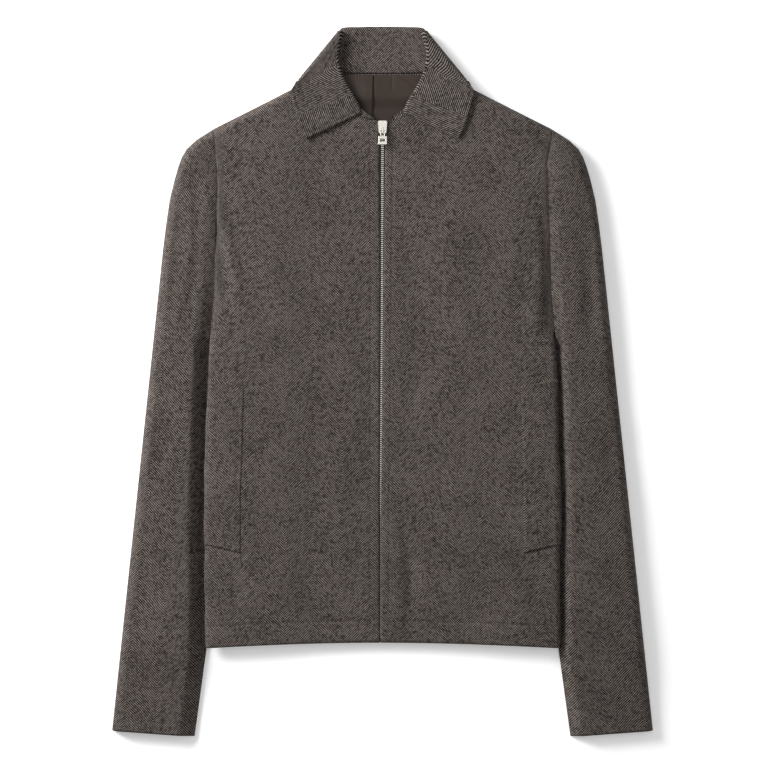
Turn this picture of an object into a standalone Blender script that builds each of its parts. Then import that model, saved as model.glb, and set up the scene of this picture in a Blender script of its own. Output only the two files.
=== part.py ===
"""A zipped blouson jacket of lined tweed, laid flat on its back with its front upwards.

Sizes are in millimetres and the scene is in metres. X runs across the chest, Y from the hem (-)
to the collar (+) and Z up from the surface it lies on. The jacket is built for +X and mirrored.
Cloth pieces are walls between an outer grid of points and the same grid moved inwards.
"""

import math

import bmesh
import bpy
import numpy as np

MM = 0.001
GAP = 0.3  # between two pieces at a seam
SEAT = 0.4  # under a piece that lies on a curved one
CLOTH = 2.5  # tweed with its interlining and lining
LINING = 1.2
TAPE = 1.0
FLOOR = 0.0

# Lengths along the body, from the middle of the overall height
HEM_SIDE = -294.0
HEM_CENTRE = -287.5
UNDERARM_LOW = 34.0  # below this the body's side is folded round onto the sleeve
UNDERARM_HIGH = 60.0  # above this the front and the sleeve meet on top, at the armhole
NECK_SEAM = 340.0
NECK_FRONT = 286.6
NECK_HALF = 62.0
SHOULDER_END = 277.0

# Heights of outer faces
TOP_CENTRE = 12.4
TOP_SIDE = 16.5
SLEEVE_LAP = 7.5  # where the body lies on the sleeve
SLEEVE_CROWN = 18.5
CUFF_CROWN = 13.0
COLLAR_LIFT = 2.8  # the back rises over the collar's fall behind the neck
LIFT_FROM, LIFT_RUN = 299.0, 16.0  # up the back
LIFT_HALF, LIFT_SIDE = 126.0, 22.0  # and across it
CROWN_FROM, CROWN_RUN = 20.0, 130.0  # the front's face rises over this stretch, out from the zip
CUFF_FROM, CUFF_RUN = -270.0, 115.0  # the sleeve thins towards the cuff over this stretch

# Widths of the soft turns at the edges
BODY_ROLL = 7.0
EDGE_ROLL = 10.0
SHOULDER_FINE = 17.0  # rows lie closer together this near the shoulder seam
SLEEVE_FALL = 32.0  # from the sleeve's crown down to the body's side
SIDE_TUCK = 18.0  # the side seam lies this far inside the sleeve's inner fold
FOLD_CLEAR = 4.0  # the fold turns down to the back this far inside the sleeve's inner fold
FOLD_RUN_OUT = 12.0  # the fold's reach under the body ends this far above the underarm's lower level
SLEEVE_TURN = 6.0  # the sleeve's inner fold
LAP_END = 8.0  # up to here the sleeve passes right under the body
SLEEVE_UNDER = 3.0  # how far in the sleeve's edge lies under the fold, at the underarm
SLEEVE_CLEAR = 6.0  # it comes out from under the fold over this stretch, going up
FOLD_STEPS = 12  # columns of points round the side fold and under it
ZIP_EASE = 40.0  # how far in from the zip its slant moves the left front

# Half widths across the body: (y, body side or armhole seam)
BODY_HALF = [
    (HEM_SIDE, 195.3),
    (-130.0, 195.8),
    (-75.0, 193.9),
    (-20.0, 192.5),
    (35.0, 190.6),
    (60.0, 189.0),
    (100.0, 185.4),
    (155.0, 184.0),
    (200.0, 182.4),
    (238.0, 181.6),
    (SHOULDER_END, 186.5),
]
# The garment's outer edge from the neck over the shoulder and down the sleeve: (x, y)
OUTLINE = [
    (NECK_HALF, 340.8),
    (133.7, 305.0),
    (186.5, 278.4),
    (206.3, 265.7),
    (216.0, 256.5),
    (221.5, 247.0),
    (225.5, 236.0),
    (229.5, 222.0),
    (234.9, 199.7),
    (238.7, 173.3),
    (242.0, 146.9),
    (298.3, -384.5),
]
# The sleeve's cap and outer edge again, as half widths: (y, half width)
SLEEVE_OUTER = [(y, x) for x, y in reversed(OUTLINE[5:])]
CUFF_INNER, CUFF_OUTER = -391.0, -384.5  # the y of the cuff's two corners
CAP_FINE, CAP_END = (262.0, 234.0), (277.6, 247.0)  # y at the armhole and on the outline, near the shoulder
# The sleeve's inner fold, a straight line: (y, half width)
SLEEVE_INNER = [(CUFF_INNER, 207.4), (56.0, 146.2)]
# The back's armhole, on the underside: (y, half width)
BACK_ARMHOLE = [
    (36.0, 131.0),
    (56.0, 147.5),
    (80.0, 163.0),
    (110.0, 174.0),
    (150.0, 180.0),
    (200.0, 181.0),
    (240.0, 182.5),
    (SHOULDER_END, 186.5),
]
# The front's neck edge: (x, y)
NECK_CURVE = [
    (3.0, NECK_FRONT),
    (14.0, 288.0),
    (30.0, 293.0),
    (46.0, 305.0),
    (57.0, 322.0),
    (60.3, 333.0),
    (NECK_HALF, 340.8),
]
# The zip's opening between the two front edges: (y, centre x, half opening)
ZIP_LINE = [(HEM_SIDE, -2.4, 0.5), (-130.0, -2.2, 0.9), (100.0, -0.6, 1.6), (NECK_FRONT, 0.0, 3.0)]

# The collar's roll and its outer edge on the front: (roll x, roll y, edge x, edge y)
COLLAR_FRONT = [
    (25.5, 294.0, 83.6, 266.0),
    (29.5, 306.0, 90.5, 281.0),
    (40.0, 323.5, 97.0, 301.0),
    (47.6, 340.0, 100.6, 317.0),
    (50.6, 358.0, 98.6, 323.0),
]
COLLAR_SIDE = (49.6, 385.4, 93.4, 331.8)  # where it turns under, on the outline
COLLAR_BACK = [(39.5, 386.3, 78.0, 330.2), (24.0, 387.4, 44.0, 327.5), (0.0, 388.2, 0.0, 326.5)]
COLLAR_TURN = 7.0
TURN_ANGLES = [35.0, 62.0, 90.0, 125.0, 155.0]  # of the sections round that turn
STAND_FRONT = [
    (9.8, 288.0, 12.6, 290.6),
    (18.0, 289.7, 19.6, 292.2),
    (25.8, 292.2, 26.4, 293.9),
    (29.6, 293.7, 32.2, 307.5),
    (45.5, 305.4, 42.4, 323.5),
    (55.9, 323.2, 49.4, 340.0),
    (58.6, 334.0, 51.8, 358.0),
]
STAND_SIDE = (63.0, 342.4, 48.4, 380.0)
STAND_BACK = [(56.0, 341.3, 40.6, 382.8), (30.0, 340.2, 26.0, 385.6), (0.0, 339.6, 0.0, 386.7)]
STAND_TURN = 3.6

# Pocket welts, from the side fold inwards
WELT_TOP = -1.0
WELT_BOTTOM = -184.0
WELT_WIDTH = 40.0
WELT_SLANT = 10.0
WELT_WALL = 2.0

# The lining inside the neck, with its pleat
LINING_HALF = 52.0
LINING_END = 262.0
PLEAT_X = -9.9
PLEAT_RISE = 0.9

# Zip
TAPE_WIDTH = 13.0
TAPE_LEVEL = 8.2
SLIDER_Y = 279.5
SLIDER_LENGTH = 15.0
SLIDER_WIDE = 11.0
SLIDER_NARROW = 8.6
SLIDER_PLATE = 1.8
SLIDER_STEM = 3.4
BAIL_WIDTH = 2.4
BAIL_HEIGHT = 3.9
BAIL_LENGTH = 6.4
BAIL_BAR = 1.1
PULL_LENGTH = 15.0
PULL_NECK = 5.6
PULL_WIDE = 9.4
PULL_THICK = 1.3
PULL_SLOT = (4.8, 2.8)
PULL_SLOT_AT = 10.4
PULL_LOOP = 4.0

FINISHES = {  # name: (colour, roughness, metallic)
    "tweed": ((0.085, 0.068, 0.058), 0.9, 0.0),
    "lining": ((0.055, 0.044, 0.038), 0.5, 0.0),
    "tape": ((0.02, 0.018, 0.017), 0.8, 0.0),
    "silver": ((0.72, 0.72, 0.74), 0.25, 1.0),
}


def clear_scene():
    for old in list(bpy.data.objects):
        bpy.data.objects.remove(old, do_unlink=True)


def material(finish):
    found = bpy.data.materials.get(finish)
    if found:
        return found
    colour, roughness, metallic = FINISHES[finish]
    made = bpy.data.materials.new(finish)
    made.use_nodes = True
    shader = made.node_tree.nodes["Principled BSDF"]
    shader.inputs["Base Color"].default_value = (*colour, 1.0)
    shader.inputs["Roughness"].default_value = roughness
    shader.inputs["Metallic"].default_value = metallic
    return made


def add_object(name, bm, finish):
    bmesh.ops.recalc_face_normals(bm, faces=bm.faces)
    if bm.calc_volume(signed=True) < 0.0:
        bmesh.ops.reverse_faces(bm, faces=bm.faces)
    mesh = bpy.data.meshes.new(name)
    bm.to_mesh(mesh)
    bm.free()
    mesh.materials.append(material(finish))
    made = bpy.data.objects.new(name, mesh)
    bpy.context.scene.collection.objects.link(made)
    return made


def smooth(t):
    t = np.clip(t, 0.0, 1.0)
    return t * t * (3.0 - 2.0 * t)


def dome(t):
    """A quarter round: 0 at the edge, 1 from a full turn inwards."""
    return np.sqrt(1.0 - (1.0 - np.clip(t, 0.0, 1.0)) ** 2)


def read(table, y, column=1):
    rows = np.array(table)
    return np.interp(y, rows[:, 0], rows[:, column])


def spaced(levels, counts):
    """Steps from level to level, with a given count of spaces between each two."""
    parts = [np.linspace(a, b, n, endpoint=False) for a, b, n in zip(levels, levels[1:], counts)]
    return np.concatenate(parts + [levels[-1:]])


def edge_distance(x, y):
    """How far a point lies inside the garment's outer edge."""
    best = np.full(np.shape(x), 1e9)
    for (ax, ay), (bx, by) in zip(OUTLINE, OUTLINE[1:]):
        along = ((x - ax) * (bx - ax) + (y - ay) * (by - ay)) / ((bx - ax) ** 2 + (by - ay) ** 2)
        along = np.clip(along, 0.0, 1.0)
        best = np.minimum(best, np.hypot(x - ax - along * (bx - ax), y - ay - along * (by - ay)))
    return best


def back_level(x, y):
    """The underside of the back, lifted where the collar's fall lies under it."""
    return COLLAR_LIFT * smooth((y - LIFT_FROM) / LIFT_RUN) * smooth((LIFT_HALF - np.abs(x)) / LIFT_SIDE)


def body_crown(x, y):
    """The front's outer face away from its edges."""
    return TOP_CENTRE + (TOP_SIDE - TOP_CENTRE) * smooth((np.abs(x) - CROWN_FROM) / CROWN_RUN)


def rounded_down(level, x, y):
    """Brings a level down to the back at the garment's outer edge."""
    low = back_level(x, y) + CLOTH + 2.0 * GAP
    return low + (level - low) * dome(edge_distance(x, y) / EDGE_ROLL)


def shoulder(x):
    """The y of the shoulder seam, or of the neck edge nearer the centre."""
    neck = np.interp(x, [p[0] for p in NECK_CURVE], [p[1] for p in NECK_CURVE])
    seam = np.interp(x, [p[0] for p in OUTLINE[:3]], [p[1] for p in OUTLINE[:3]])
    return np.where(x < NECK_HALF, neck, seam)


def hem(x):
    return HEM_CENTRE + (HEM_SIDE - HEM_CENTRE) * (np.abs(x) / BODY_HALF[0][1]) ** 2


def grid_normals(points):
    down = np.gradient(points, axis=0)
    across = np.gradient(points, axis=1)
    normal = np.cross(across, down)
    return normal / np.linalg.norm(normal, axis=2, keepdims=True)


def levelled(normal, share=1.0):
    """Turns normals towards the horizontal, so that a turned-down edge ends in a level face."""
    flat = normal * np.array([1.0, 1.0, 0.0])
    flat /= np.maximum(np.linalg.norm(flat, axis=-1, keepdims=True), 1e-9)
    mixed = normal + (flat - normal) * np.asarray(share)[..., None]
    return mixed / np.maximum(np.linalg.norm(mixed, axis=-1, keepdims=True), 1e-9)


def wall(name, outer, inner, finish, mirrored=False):
    """A closed wall between two grids of points."""
    rows, columns = outer.shape[:2]
    sign = np.array([-1.0 if mirrored else 1.0, 1.0, 1.0]) * MM
    bm = bmesh.new()
    face = [[[bm.verts.new(p * sign) for p in row] for row in grid] for grid in (outer, inner)]
    for i in range(rows - 1):
        for j in range(columns - 1):
            for g in face:
                bm.faces.new((g[i][j], g[i][j + 1], g[i + 1][j + 1], g[i + 1][j]))
    rim = [(0, j) for j in range(columns)] + [(i, columns - 1) for i in range(1, rows)]
    rim += [(rows - 1, j) for j in range(columns - 2, -1, -1)] + [(i, 0) for i in range(rows - 2, 0, -1)]
    for (a, b), (c, d) in zip(rim, rim[1:] + rim[:1]):
        bm.faces.new((face[0][a][b], face[0][c][d], face[1][c][d], face[1][a][b]))
    return add_object(name, bm, finish)


def body_rows(x_at_top):
    """The y of each row down a column that ends at x_at_top, hem to shoulder."""
    top = float(shoulder(x_at_top))
    fine = top - SHOULDER_FINE * (1.0 - np.linspace(0.0, 1.0, 6)) ** 2
    armhole = [row[0] for row in BODY_HALF[5:-1]]
    run_out = UNDERARM_LOW + FOLD_RUN_OUT
    levels = [float(hem(x_at_top)), UNDERARM_LOW, run_out, *armhole, fine[0]]
    lower = spaced(levels, [9, 4, 5, 1, 2, 1, 1, 1])
    return np.concatenate([lower[:-1], fine])


def tuck_line(y):
    """The half width of the side seam, on the underside."""
    return np.where(y < BACK_ARMHOLE[0][0], read(SLEEVE_INNER, y) - SIDE_TUCK, read(BACK_ARMHOLE, y))


def side_fold(n, y):
    """The nth column of the side fold: round it, in under the body and down to the side seam.

    Going up past the underarm it runs out, its reach under the body first and then its turn.
    """
    side = read(BODY_HALF, y)
    run_out = UNDERARM_LOW + FOLD_RUN_OUT
    reach = 1.0 - smooth((y - UNDERARM_LOW) / FOLD_RUN_OUT)
    turned = 1.0 - smooth((y - run_out) / (UNDERARM_HIGH - run_out))
    round_steps = FOLD_STEPS * (1.0 - reach / 2)
    angle = math.pi * turned * np.minimum(n / round_steps, 1.0)
    high, low = body_crown(side, y), SLEEVE_LAP + GAP
    start = side - BODY_ROLL
    stop = np.minimum(read(SLEEVE_INNER, y) - FOLD_CLEAR, start - 2.0)
    seam = read(SLEEVE_INNER, y) - SIDE_TUCK + GAP / 2
    past = 2.0 * np.clip((n - round_steps) / np.maximum(FOLD_STEPS - round_steps, 1e-6), 0.0, 1.0)
    across, down = np.minimum(past, 1.0), np.maximum(past - 1.0, 0.0)
    fold_x = start + BODY_ROLL * np.sin(angle) - reach * (across * (start - stop) + down * (stop - seam))
    fold_z = (high + low) / 2 + (high - low) / 2 * np.cos(angle) - reach * low * smooth(1.4 * down)
    flat_x = start + (BODY_ROLL - GAP / 2) * n / FOLD_STEPS
    flat_z = rounded_down(body_crown(flat_x, y), flat_x, y)
    share = smooth(turned)
    return np.stack([flat_x + (fold_x - flat_x) * share, y, flat_z + (fold_z - flat_z) * share], axis=1)


def front_grid():
    """The front's outer points: across the top, then the side fold."""
    side_top = BODY_HALF[-1][1] - BODY_ROLL
    tops = np.concatenate([[p[0] for p in NECK_CURVE[:-1]], spaced([NECK_HALF, side_top], [7])])
    columns = []
    for top in tops:
        y = body_rows(top)
        start = read(ZIP_LINE, y, 1) + read(ZIP_LINE, y, 2)
        x = start + (top - tops[0]) / (side_top - tops[0]) * (read(BODY_HALF, y) - BODY_ROLL - start)
        columns.append(np.stack([x, y, rounded_down(body_crown(x, y), x, y)], axis=1))
    for n in range(1, FOLD_STEPS + 1):
        columns.append(side_fold(n, body_rows(side_top + BODY_ROLL * n / FOLD_STEPS)))
    return np.stack(columns, axis=1)


def front_normals(grid):
    """Outward normals, level at the shoulder seam so that the front ends above the back there."""
    normal = grid_normals(grid)
    neck = grid[-1, :, 0] < NECK_HALF - 1.0
    normal[-1] = np.where(neck[:, None], normal[-1], levelled(normal[-1]))
    return normal


def make_fronts():
    """The right front, and the left one, whose edge at the zip is moved over by the zip's slant."""
    right = front_grid()
    left = right.copy()
    near_zip = np.clip(1.0 - right[:, :, 0] / ZIP_EASE, 0.0, 1.0)
    left[:, :, 0] -= 2.0 * read(ZIP_LINE, right[:, :, 1], 1) * near_zip
    for name, grid, mirrored in (("front_right", right, False), ("front_left", left, True)):
        wall(name, grid, grid - CLOTH * front_normals(grid), "tweed", mirrored)
    return right


def make_back():
    """One flat panel: its underside is the face that the jacket lies on."""
    half_width = BACK_ARMHOLE[-1][1]
    tops = np.array([0.0, 22.0, 42.0, NECK_HALF, 86.0, 108.0, 128.0, 150.0, 170.0, half_width])
    columns = []
    for top in tops:
        neck_end = NECK_SEAM - GAP / 2 - (1.0 - (top / NECK_HALF) ** 2)
        end = neck_end if top < NECK_HALF else float(shoulder(top))
        armhole = [row[0] for row in BACK_ARMHOLE[:-1]]
        high = armhole[-1] + 0.6 * (end - armhole[-1])
        y = spaced([float(hem(top)), *armhole, high, end], [6, 1, 1, 1, 1, 1, 1, 3, 2])
        x = top / half_width * (tuck_line(y) - GAP)
        columns.append(np.stack([x, y, back_level(x, y)], axis=1))
    half = np.stack(columns, axis=1)
    whole = np.concatenate([half[:, :0:-1] * np.array([-1.0, 1.0, 1.0]), half], axis=1)
    wall("back", whole, whole + np.array([0.0, 0.0, CLOTH]), "tweed")


def sleeve_rows():
    """The y of each row at the sleeve's inner and outer ends, cuff to shoulder."""
    counts = [3, 8, 4, 4, 1, 2, 1, 1, 1]
    armhole = [row[0] for row in BODY_HALF[5:-1]]
    inner = spaced([CUFF_INNER, -300.0, 5.0, UNDERARM_LOW, *armhole, CAP_FINE[0]], counts)
    outer = spaced([CUFF_OUTER, -294.0, 10.0, 38.0, 64.0, 100.0, 150.0, 190.0, 219.0, CAP_FINE[1]], counts)
    last = 1.0 - (1.0 - np.linspace(0.0, 1.0, 6)[1:]) ** 2
    inner = np.append(inner, CAP_FINE[0] + (CAP_END[0] - CAP_FINE[0]) * last)
    return inner, np.append(outer, CAP_FINE[1] + (CAP_END[1] - CAP_FINE[1]) * last)


def make_sleeves():
    inner_y, outer_y = sleeve_rows()
    side = read(BODY_HALF, inner_y)
    lapped = 1.0 - smooth((inner_y - LAP_END) / (UNDERARM_LOW - LAP_END))
    out = smooth((inner_y - UNDERARM_LOW) / SLEEVE_CLEAR)
    clear = out * (1.0 + 2.0 * smooth((UNDERARM_HIGH - inner_y) / 4.0))
    seam_x = side - SLEEVE_UNDER * (1.0 - out) + GAP / 2 * clear
    seam_x = seam_x + 2.0 * GAP * smooth((inner_y - CAP_FINE[0]) / 15.0)
    top_x = seam_x + (read(SLEEVE_INNER, inner_y) - seam_x) * lapped
    outer_x = read(SLEEVE_OUTER, outer_y)
    top = sleeve_grid(top_x, inner_y, outer_x, outer_y, [0.0, 0.8, 2.8, 6.0, EDGE_ROLL], 7)
    x, y = top[:, :, 0], top[:, :, 1]
    top[:, :, 2] = sleeve_level(x, y, top_x, inner_y)
    normal = grid_normals(top[:, ::-1])[:, ::-1]
    normal[:, 0] = levelled(normal[:, 0])
    normal[-1] = levelled(normal[-1])
    normal[:, -1] = levelled(normal[:, -1], lapped)
    armhole = [row[0] for row in BACK_ARMHOLE[:-1]]
    floor_y = spaced([CUFF_INNER, *armhole, CAP_END[0]], [6] + [1] * len(armhole))
    rim_y = np.interp(floor_y, inner_y, outer_y)
    low = floor_y < BACK_ARMHOLE[1][0]
    floor_x = np.where(low, read(SLEEVE_INNER, floor_y), read(BACK_ARMHOLE, floor_y) + GAP)
    under = sleeve_grid(floor_x, floor_y, read(SLEEVE_OUTER, rim_y), rim_y, [0.0], 5)
    for name, mirrored in (("right", False), ("left", True)):
        wall(f"sleeve_top_{name}", top, top - CLOTH * normal, "tweed", mirrored)
        wall(f"sleeve_under_{name}", under, under + np.array([0.0, 0.0, CLOTH]), "tweed", mirrored)


def sleeve_grid(inner_x, inner_y, outer_x, outer_y, near_edge, spaces):
    """Points in plan on straight rows from the sleeve's outer edge to its inner one."""
    start = np.stack([outer_x, outer_y, 0.0 * outer_x], axis=1)
    end = np.stack([inner_x, inner_y, 0.0 * inner_x], axis=1)
    length = np.linalg.norm(end - start, axis=1)
    rows = []
    for a, b, reach in zip(start, end, length):
        near = np.array(near_edge) * min(1.0, 0.3 * reach / EDGE_ROLL)
        far = reach - min(SLEEVE_TURN, 0.2 * reach) * np.array([1.0, 0.55, 0.2, 0.0])
        middle = np.linspace(near[-1], far[0], spaces + 1)[1:-1]
        at = np.concatenate([near, middle, far]) / reach
        rows.append(a + at[:, None] * (b - a))
    return np.stack(rows)


def sleeve_level(x, y, top_x, inner_y):
    below_hem = smooth((HEM_SIDE + 9.0 - y) / 30.0)
    side = read(BODY_HALF, y)
    edge = side + (read(SLEEVE_INNER, y) - side) * below_hem
    risen = smooth((y - UNDERARM_LOW) / (UNDERARM_HIGH - UNDERARM_LOW))
    low = SLEEVE_LAP + (TOP_SIDE - SLEEVE_LAP) * risen
    crown = SLEEVE_CROWN + (CUFF_CROWN - SLEEVE_CROWN) * smooth((CUFF_FROM - y) / CUFF_RUN)
    level = low + (crown - low) * smooth((x - edge) / SLEEVE_FALL)
    inner = np.repeat(np.abs(top_x)[:, None], x.shape[1], axis=1)
    lapped = 1.0 - smooth((y - LAP_END) / (UNDERARM_LOW - LAP_END))
    fold = 1.0 + (dome((x - inner) / SLEEVE_TURN) - 1.0) * lapped
    base = CLOTH + GAP
    return base + (rounded_down(level, x, y) - base) * fold


def turned_sections(front, side, back, turn, top_level, bottom_level):
    """Sections of the collar from its front end, over the shoulder and under to the centre back.

    Each is (first point, second point, outward normal), the first at the roll or seam.
    """
    made = []
    for ax, ay, bx, by in front:
        up = np.array([0.0, 0.0, 1.0])
        made.append((np.array([ax, ay, top_level(ax, ay)]), np.array([bx, by, top_level(bx, by)]), up))
    ax, ay, bx, by = side
    outward = np.array([by - ay, ax - bx, 0.0])
    outward *= np.sign(outward[0]) / np.linalg.norm(outward)
    high = top_level(bx, by)
    middle, reach = (high + bottom_level) / 2, (high - bottom_level) / 2
    for angle in np.radians(TURN_ANGLES):
        shift = outward * turn * (math.sin(angle) - 1.0)
        lift = np.array([0.0, 0.0, middle + reach * math.cos(angle)])
        normal = outward * math.sin(angle) / turn + np.array([0.0, 0.0, math.cos(angle) / reach])
        normal /= np.linalg.norm(normal)
        made.append((np.array([ax, ay, 0.0]) + shift + lift, np.array([bx, by, 0.0]) + shift + lift, normal))
    for ax, ay, bx, by in back:
        down = np.array([0.0, 0.0, -1.0])
        made.append((np.array([ax, ay, bottom_level]), np.array([bx, by, bottom_level]), down))
    return made


def collar_piece(name, sections, profile, thickness):
    """Sweeps a profile of (part of the width, fixed offset, height, inward tilt) along the sections."""
    outer, inner = [], []
    for first, last, normal in sections:
        across = last - first
        width = np.linalg.norm(across)
        along = across / width
        outer_row, inner_row = [], []
        for share, offset, height, tilt in profile:
            point = first + along * (share * width + offset) + normal * height
            face = normal * math.cos(tilt) - along * math.sin(tilt)
            outer_row.append(point)
            inner_row.append(point - face * thickness)
        outer.append(outer_row)
        inner.append(inner_row)
    grids = []
    for grid in (np.array(outer), np.array(inner)):
        other = grid[-2::-1] * np.array([-1.0, 1.0, 1.0])
        grids.append(np.concatenate([grid, other]))
    wall(name, grids[0], grids[1], "tweed")


def make_collar():
    """The stand round the neck, and the leaf that rolls over it and lies on the fronts."""

    def on_front(x, y):
        return float(body_crown(x, y)) + GAP + CLOTH

    leaf = turned_sections(COLLAR_FRONT, COLLAR_SIDE, COLLAR_BACK, COLLAR_TURN, on_front, FLOOR)
    roll = CLOTH + GAP
    profile = [(0.0, -roll, -2.2 * CLOTH, math.pi / 2)]
    profile += [(0.0, -roll * math.sin(t), roll * (math.cos(t) - 1.0), t) for t in np.radians([75.0, 40.0])]
    profile += [(share, 0.0, 0.0, 0.0) for share in (0.0, 0.16, 0.33, 0.5, 0.67, 0.84, 1.0)]
    collar_piece("collar_leaf", leaf, profile, CLOTH)

    def stand_level(x, y):
        return float(body_crown(x, y))

    seat = CLOTH + GAP
    stand = turned_sections(STAND_FRONT, STAND_SIDE, STAND_BACK, STAND_TURN, stand_level, seat)
    flat = [(share, 0.0, 0.0, 0.0) for share in (0.0, 0.25, 0.5, 0.75, 1.0)]
    collar_piece("collar_stand", stand, flat, CLOTH)


def make_neck_lining():
    """The lining that shows inside the neck, with its pleat for ease."""
    y = np.linspace(LINING_END, NECK_SEAM - 2.0, 15)
    by_pleat = PLEAT_X + np.array([-4.1, -2.1, -0.6, 0.1, 2.9])
    left, right = np.linspace(-LINING_HALF, -18.0, 4), np.linspace(0.0, LINING_HALF, 5)
    x = np.concatenate([left, by_pleat, right])
    grid = np.stack(np.broadcast_arrays(x[None, :], y[:, None], 0.0), axis=2).copy()
    width = 1.2 + 3.4 * (NECK_SEAM - y) / 50.0
    pleat = smooth((x[None, :] - PLEAT_X + width[:, None]) / 2.0) * (x[None, :] < PLEAT_X)
    base = back_level(grid[:, :, 0], grid[:, :, 1]) + CLOTH + GAP
    grid[:, :, 2] = base + LINING + PLEAT_RISE * pleat
    wall("neck_lining", grid, np.concatenate([grid[:, :, :2], base[:, :, None]], axis=2), "lining")


def make_welts(grid):
    """Pocket welts, made from the fronts' own points moved outwards."""
    round_from = grid.shape[1] - FOLD_STEPS
    columns = list(range(round_from - 4, round_from + 3))
    rows = np.linspace(WELT_BOTTOM, WELT_TOP, 11)
    shape = np.empty((len(rows), len(columns), 3))
    for j, column in enumerate(columns):
        line = grid[:, column]
        for i, y in enumerate(rows):
            shape[i, j] = [np.interp(y, line[:, 1], line[:, k]) for k in range(3)]
    start = shape[:, :1, 0]
    flat = np.array([c < round_from for c in columns])
    side = shape[:, flat, 0][:, -1:]
    inner = read(BODY_HALF, shape[:, :1, 1]) - WELT_WIDTH
    share = (shape[:, flat, 0] - start) / (side - start)
    shape[:, flat, 0] = inner + share * (side - inner)
    x, y = shape[:, flat, 0], shape[:, flat, 1]
    shape[:, flat, 2] = rounded_down(body_crown(x, y), x, y)
    from_side = read(BODY_HALF, shape[:, :, 1]) - shape[:, :, 0]
    shape[:, :, 1] -= WELT_SLANT * (from_side / WELT_WIDTH - 0.5)
    normal = grid_normals(shape)
    for name, mirrored in (("right", False), ("left", True)):
        low = shape + SEAT * normal
        wall(f"pocket_welt_{name}", low + WELT_WALL * normal, low, "tweed", mirrored)


def make_zip_tapes():
    """The zip's two tapes, under the front edges."""
    y = np.linspace(HEM_CENTRE + 4.0, NECK_FRONT - 3.0, 12)
    for name, sign in (("right", 1.0), ("left", -1.0)):
        near = read(ZIP_LINE, y, 1) * sign + GAP / 2
        x = near[:, None] + np.array([0.0, 0.5, 1.0]) * TAPE_WIDTH
        grid = np.stack(np.broadcast_arrays(x, y[:, None], TAPE_LEVEL + TAPE), axis=2)
        wall(f"zip_tape_{name}", grid, grid - np.array([0.0, 0.0, TAPE]), "tape", sign < 0)


def box(bm, low, high):
    """A block between two corners, in millimetres."""
    made = bmesh.ops.create_cube(bm, size=1.0)["verts"]
    size = np.subtract(high, low)
    bmesh.ops.scale(bm, vec=size * MM, verts=made)
    bmesh.ops.translate(bm, vec=(np.add(high, low) / 2) * MM, verts=made)
    return made


def joined(target, others):
    """Boolean union of solid blocks into one body."""
    for n, other in enumerate(others):
        union = target.modifiers.new(f"join_{n}", "BOOLEAN")
        union.operation = "UNION"
        union.solver = "EXACT"
        union.object = other
        other.hide_render = True
        other.display_type = "WIRE"
    return target


def helper(name, low, high, finish="silver"):
    bm = bmesh.new()
    box(bm, low, high)
    return add_object(name, bm, finish)


def slider_level():
    return TOP_CENTRE + SEAT


def make_slider():
    """A tapered plate on the front edges, with a stem down to the tapes and a bail on top."""
    base = slider_level()
    bm = bmesh.new()
    corner = np.array([SLIDER_WIDE / 2, SLIDER_LENGTH / 2, 0.0])
    plate = box(bm, (0.0, 0.0, base) - corner, (0.0, 0.0, base + SLIDER_PLATE) + corner)
    for vert in plate:
        if vert.co.y < 0.0:
            vert.co.x *= SLIDER_NARROW / SLIDER_WIDE
        vert.co.y += SLIDER_Y * MM
    upright = [e for e in bm.edges if abs(e.verts[0].co.z - e.verts[1].co.z) > 0.5 * MM]
    bmesh.ops.bevel(
        bm, geom=upright, offset=2.2 * MM, segments=3, profile=0.5, affect="EDGES", material=-1
    )
    slider = add_object("zip_slider", bm, "silver")
    top = base + SLIDER_PLATE
    low_y, high_y = pull_axis()[1] + 0.4 + np.array([-0.5, 0.5]) * BAIL_LENGTH
    half, post_top = BAIL_WIDTH / 2, top + BAIL_HEIGHT - 0.2
    seat, stem, inset = TAPE_LEVEL + TAPE + GAP, SLIDER_STEM / 2, 0.02
    blocks = {
        "stem": ((-stem, SLIDER_Y - 3.0, seat), (stem, SLIDER_Y + 3.0, base + 0.5)),
        "post_low": ((-half, low_y, top - 0.5), (half, low_y + BAIL_BAR, post_top)),
        "post_high": ((-half, high_y - BAIL_BAR, top - 0.5), (half, high_y, post_top)),
        "bridge": (
            (inset - half, low_y + inset, top + BAIL_HEIGHT - BAIL_BAR),
            (half - inset, high_y - inset, top + BAIL_HEIGHT),
        ),
    }
    parts = [helper(name, low, high) for name, (low, high) in blocks.items()]
    return joined(slider, parts)


def pull_axis():
    """The point on the pull tab's hinge axis, which runs along X."""
    return 0.0, SLIDER_Y - 4.2, slider_level() + SLIDER_PLATE + 1.5


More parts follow.
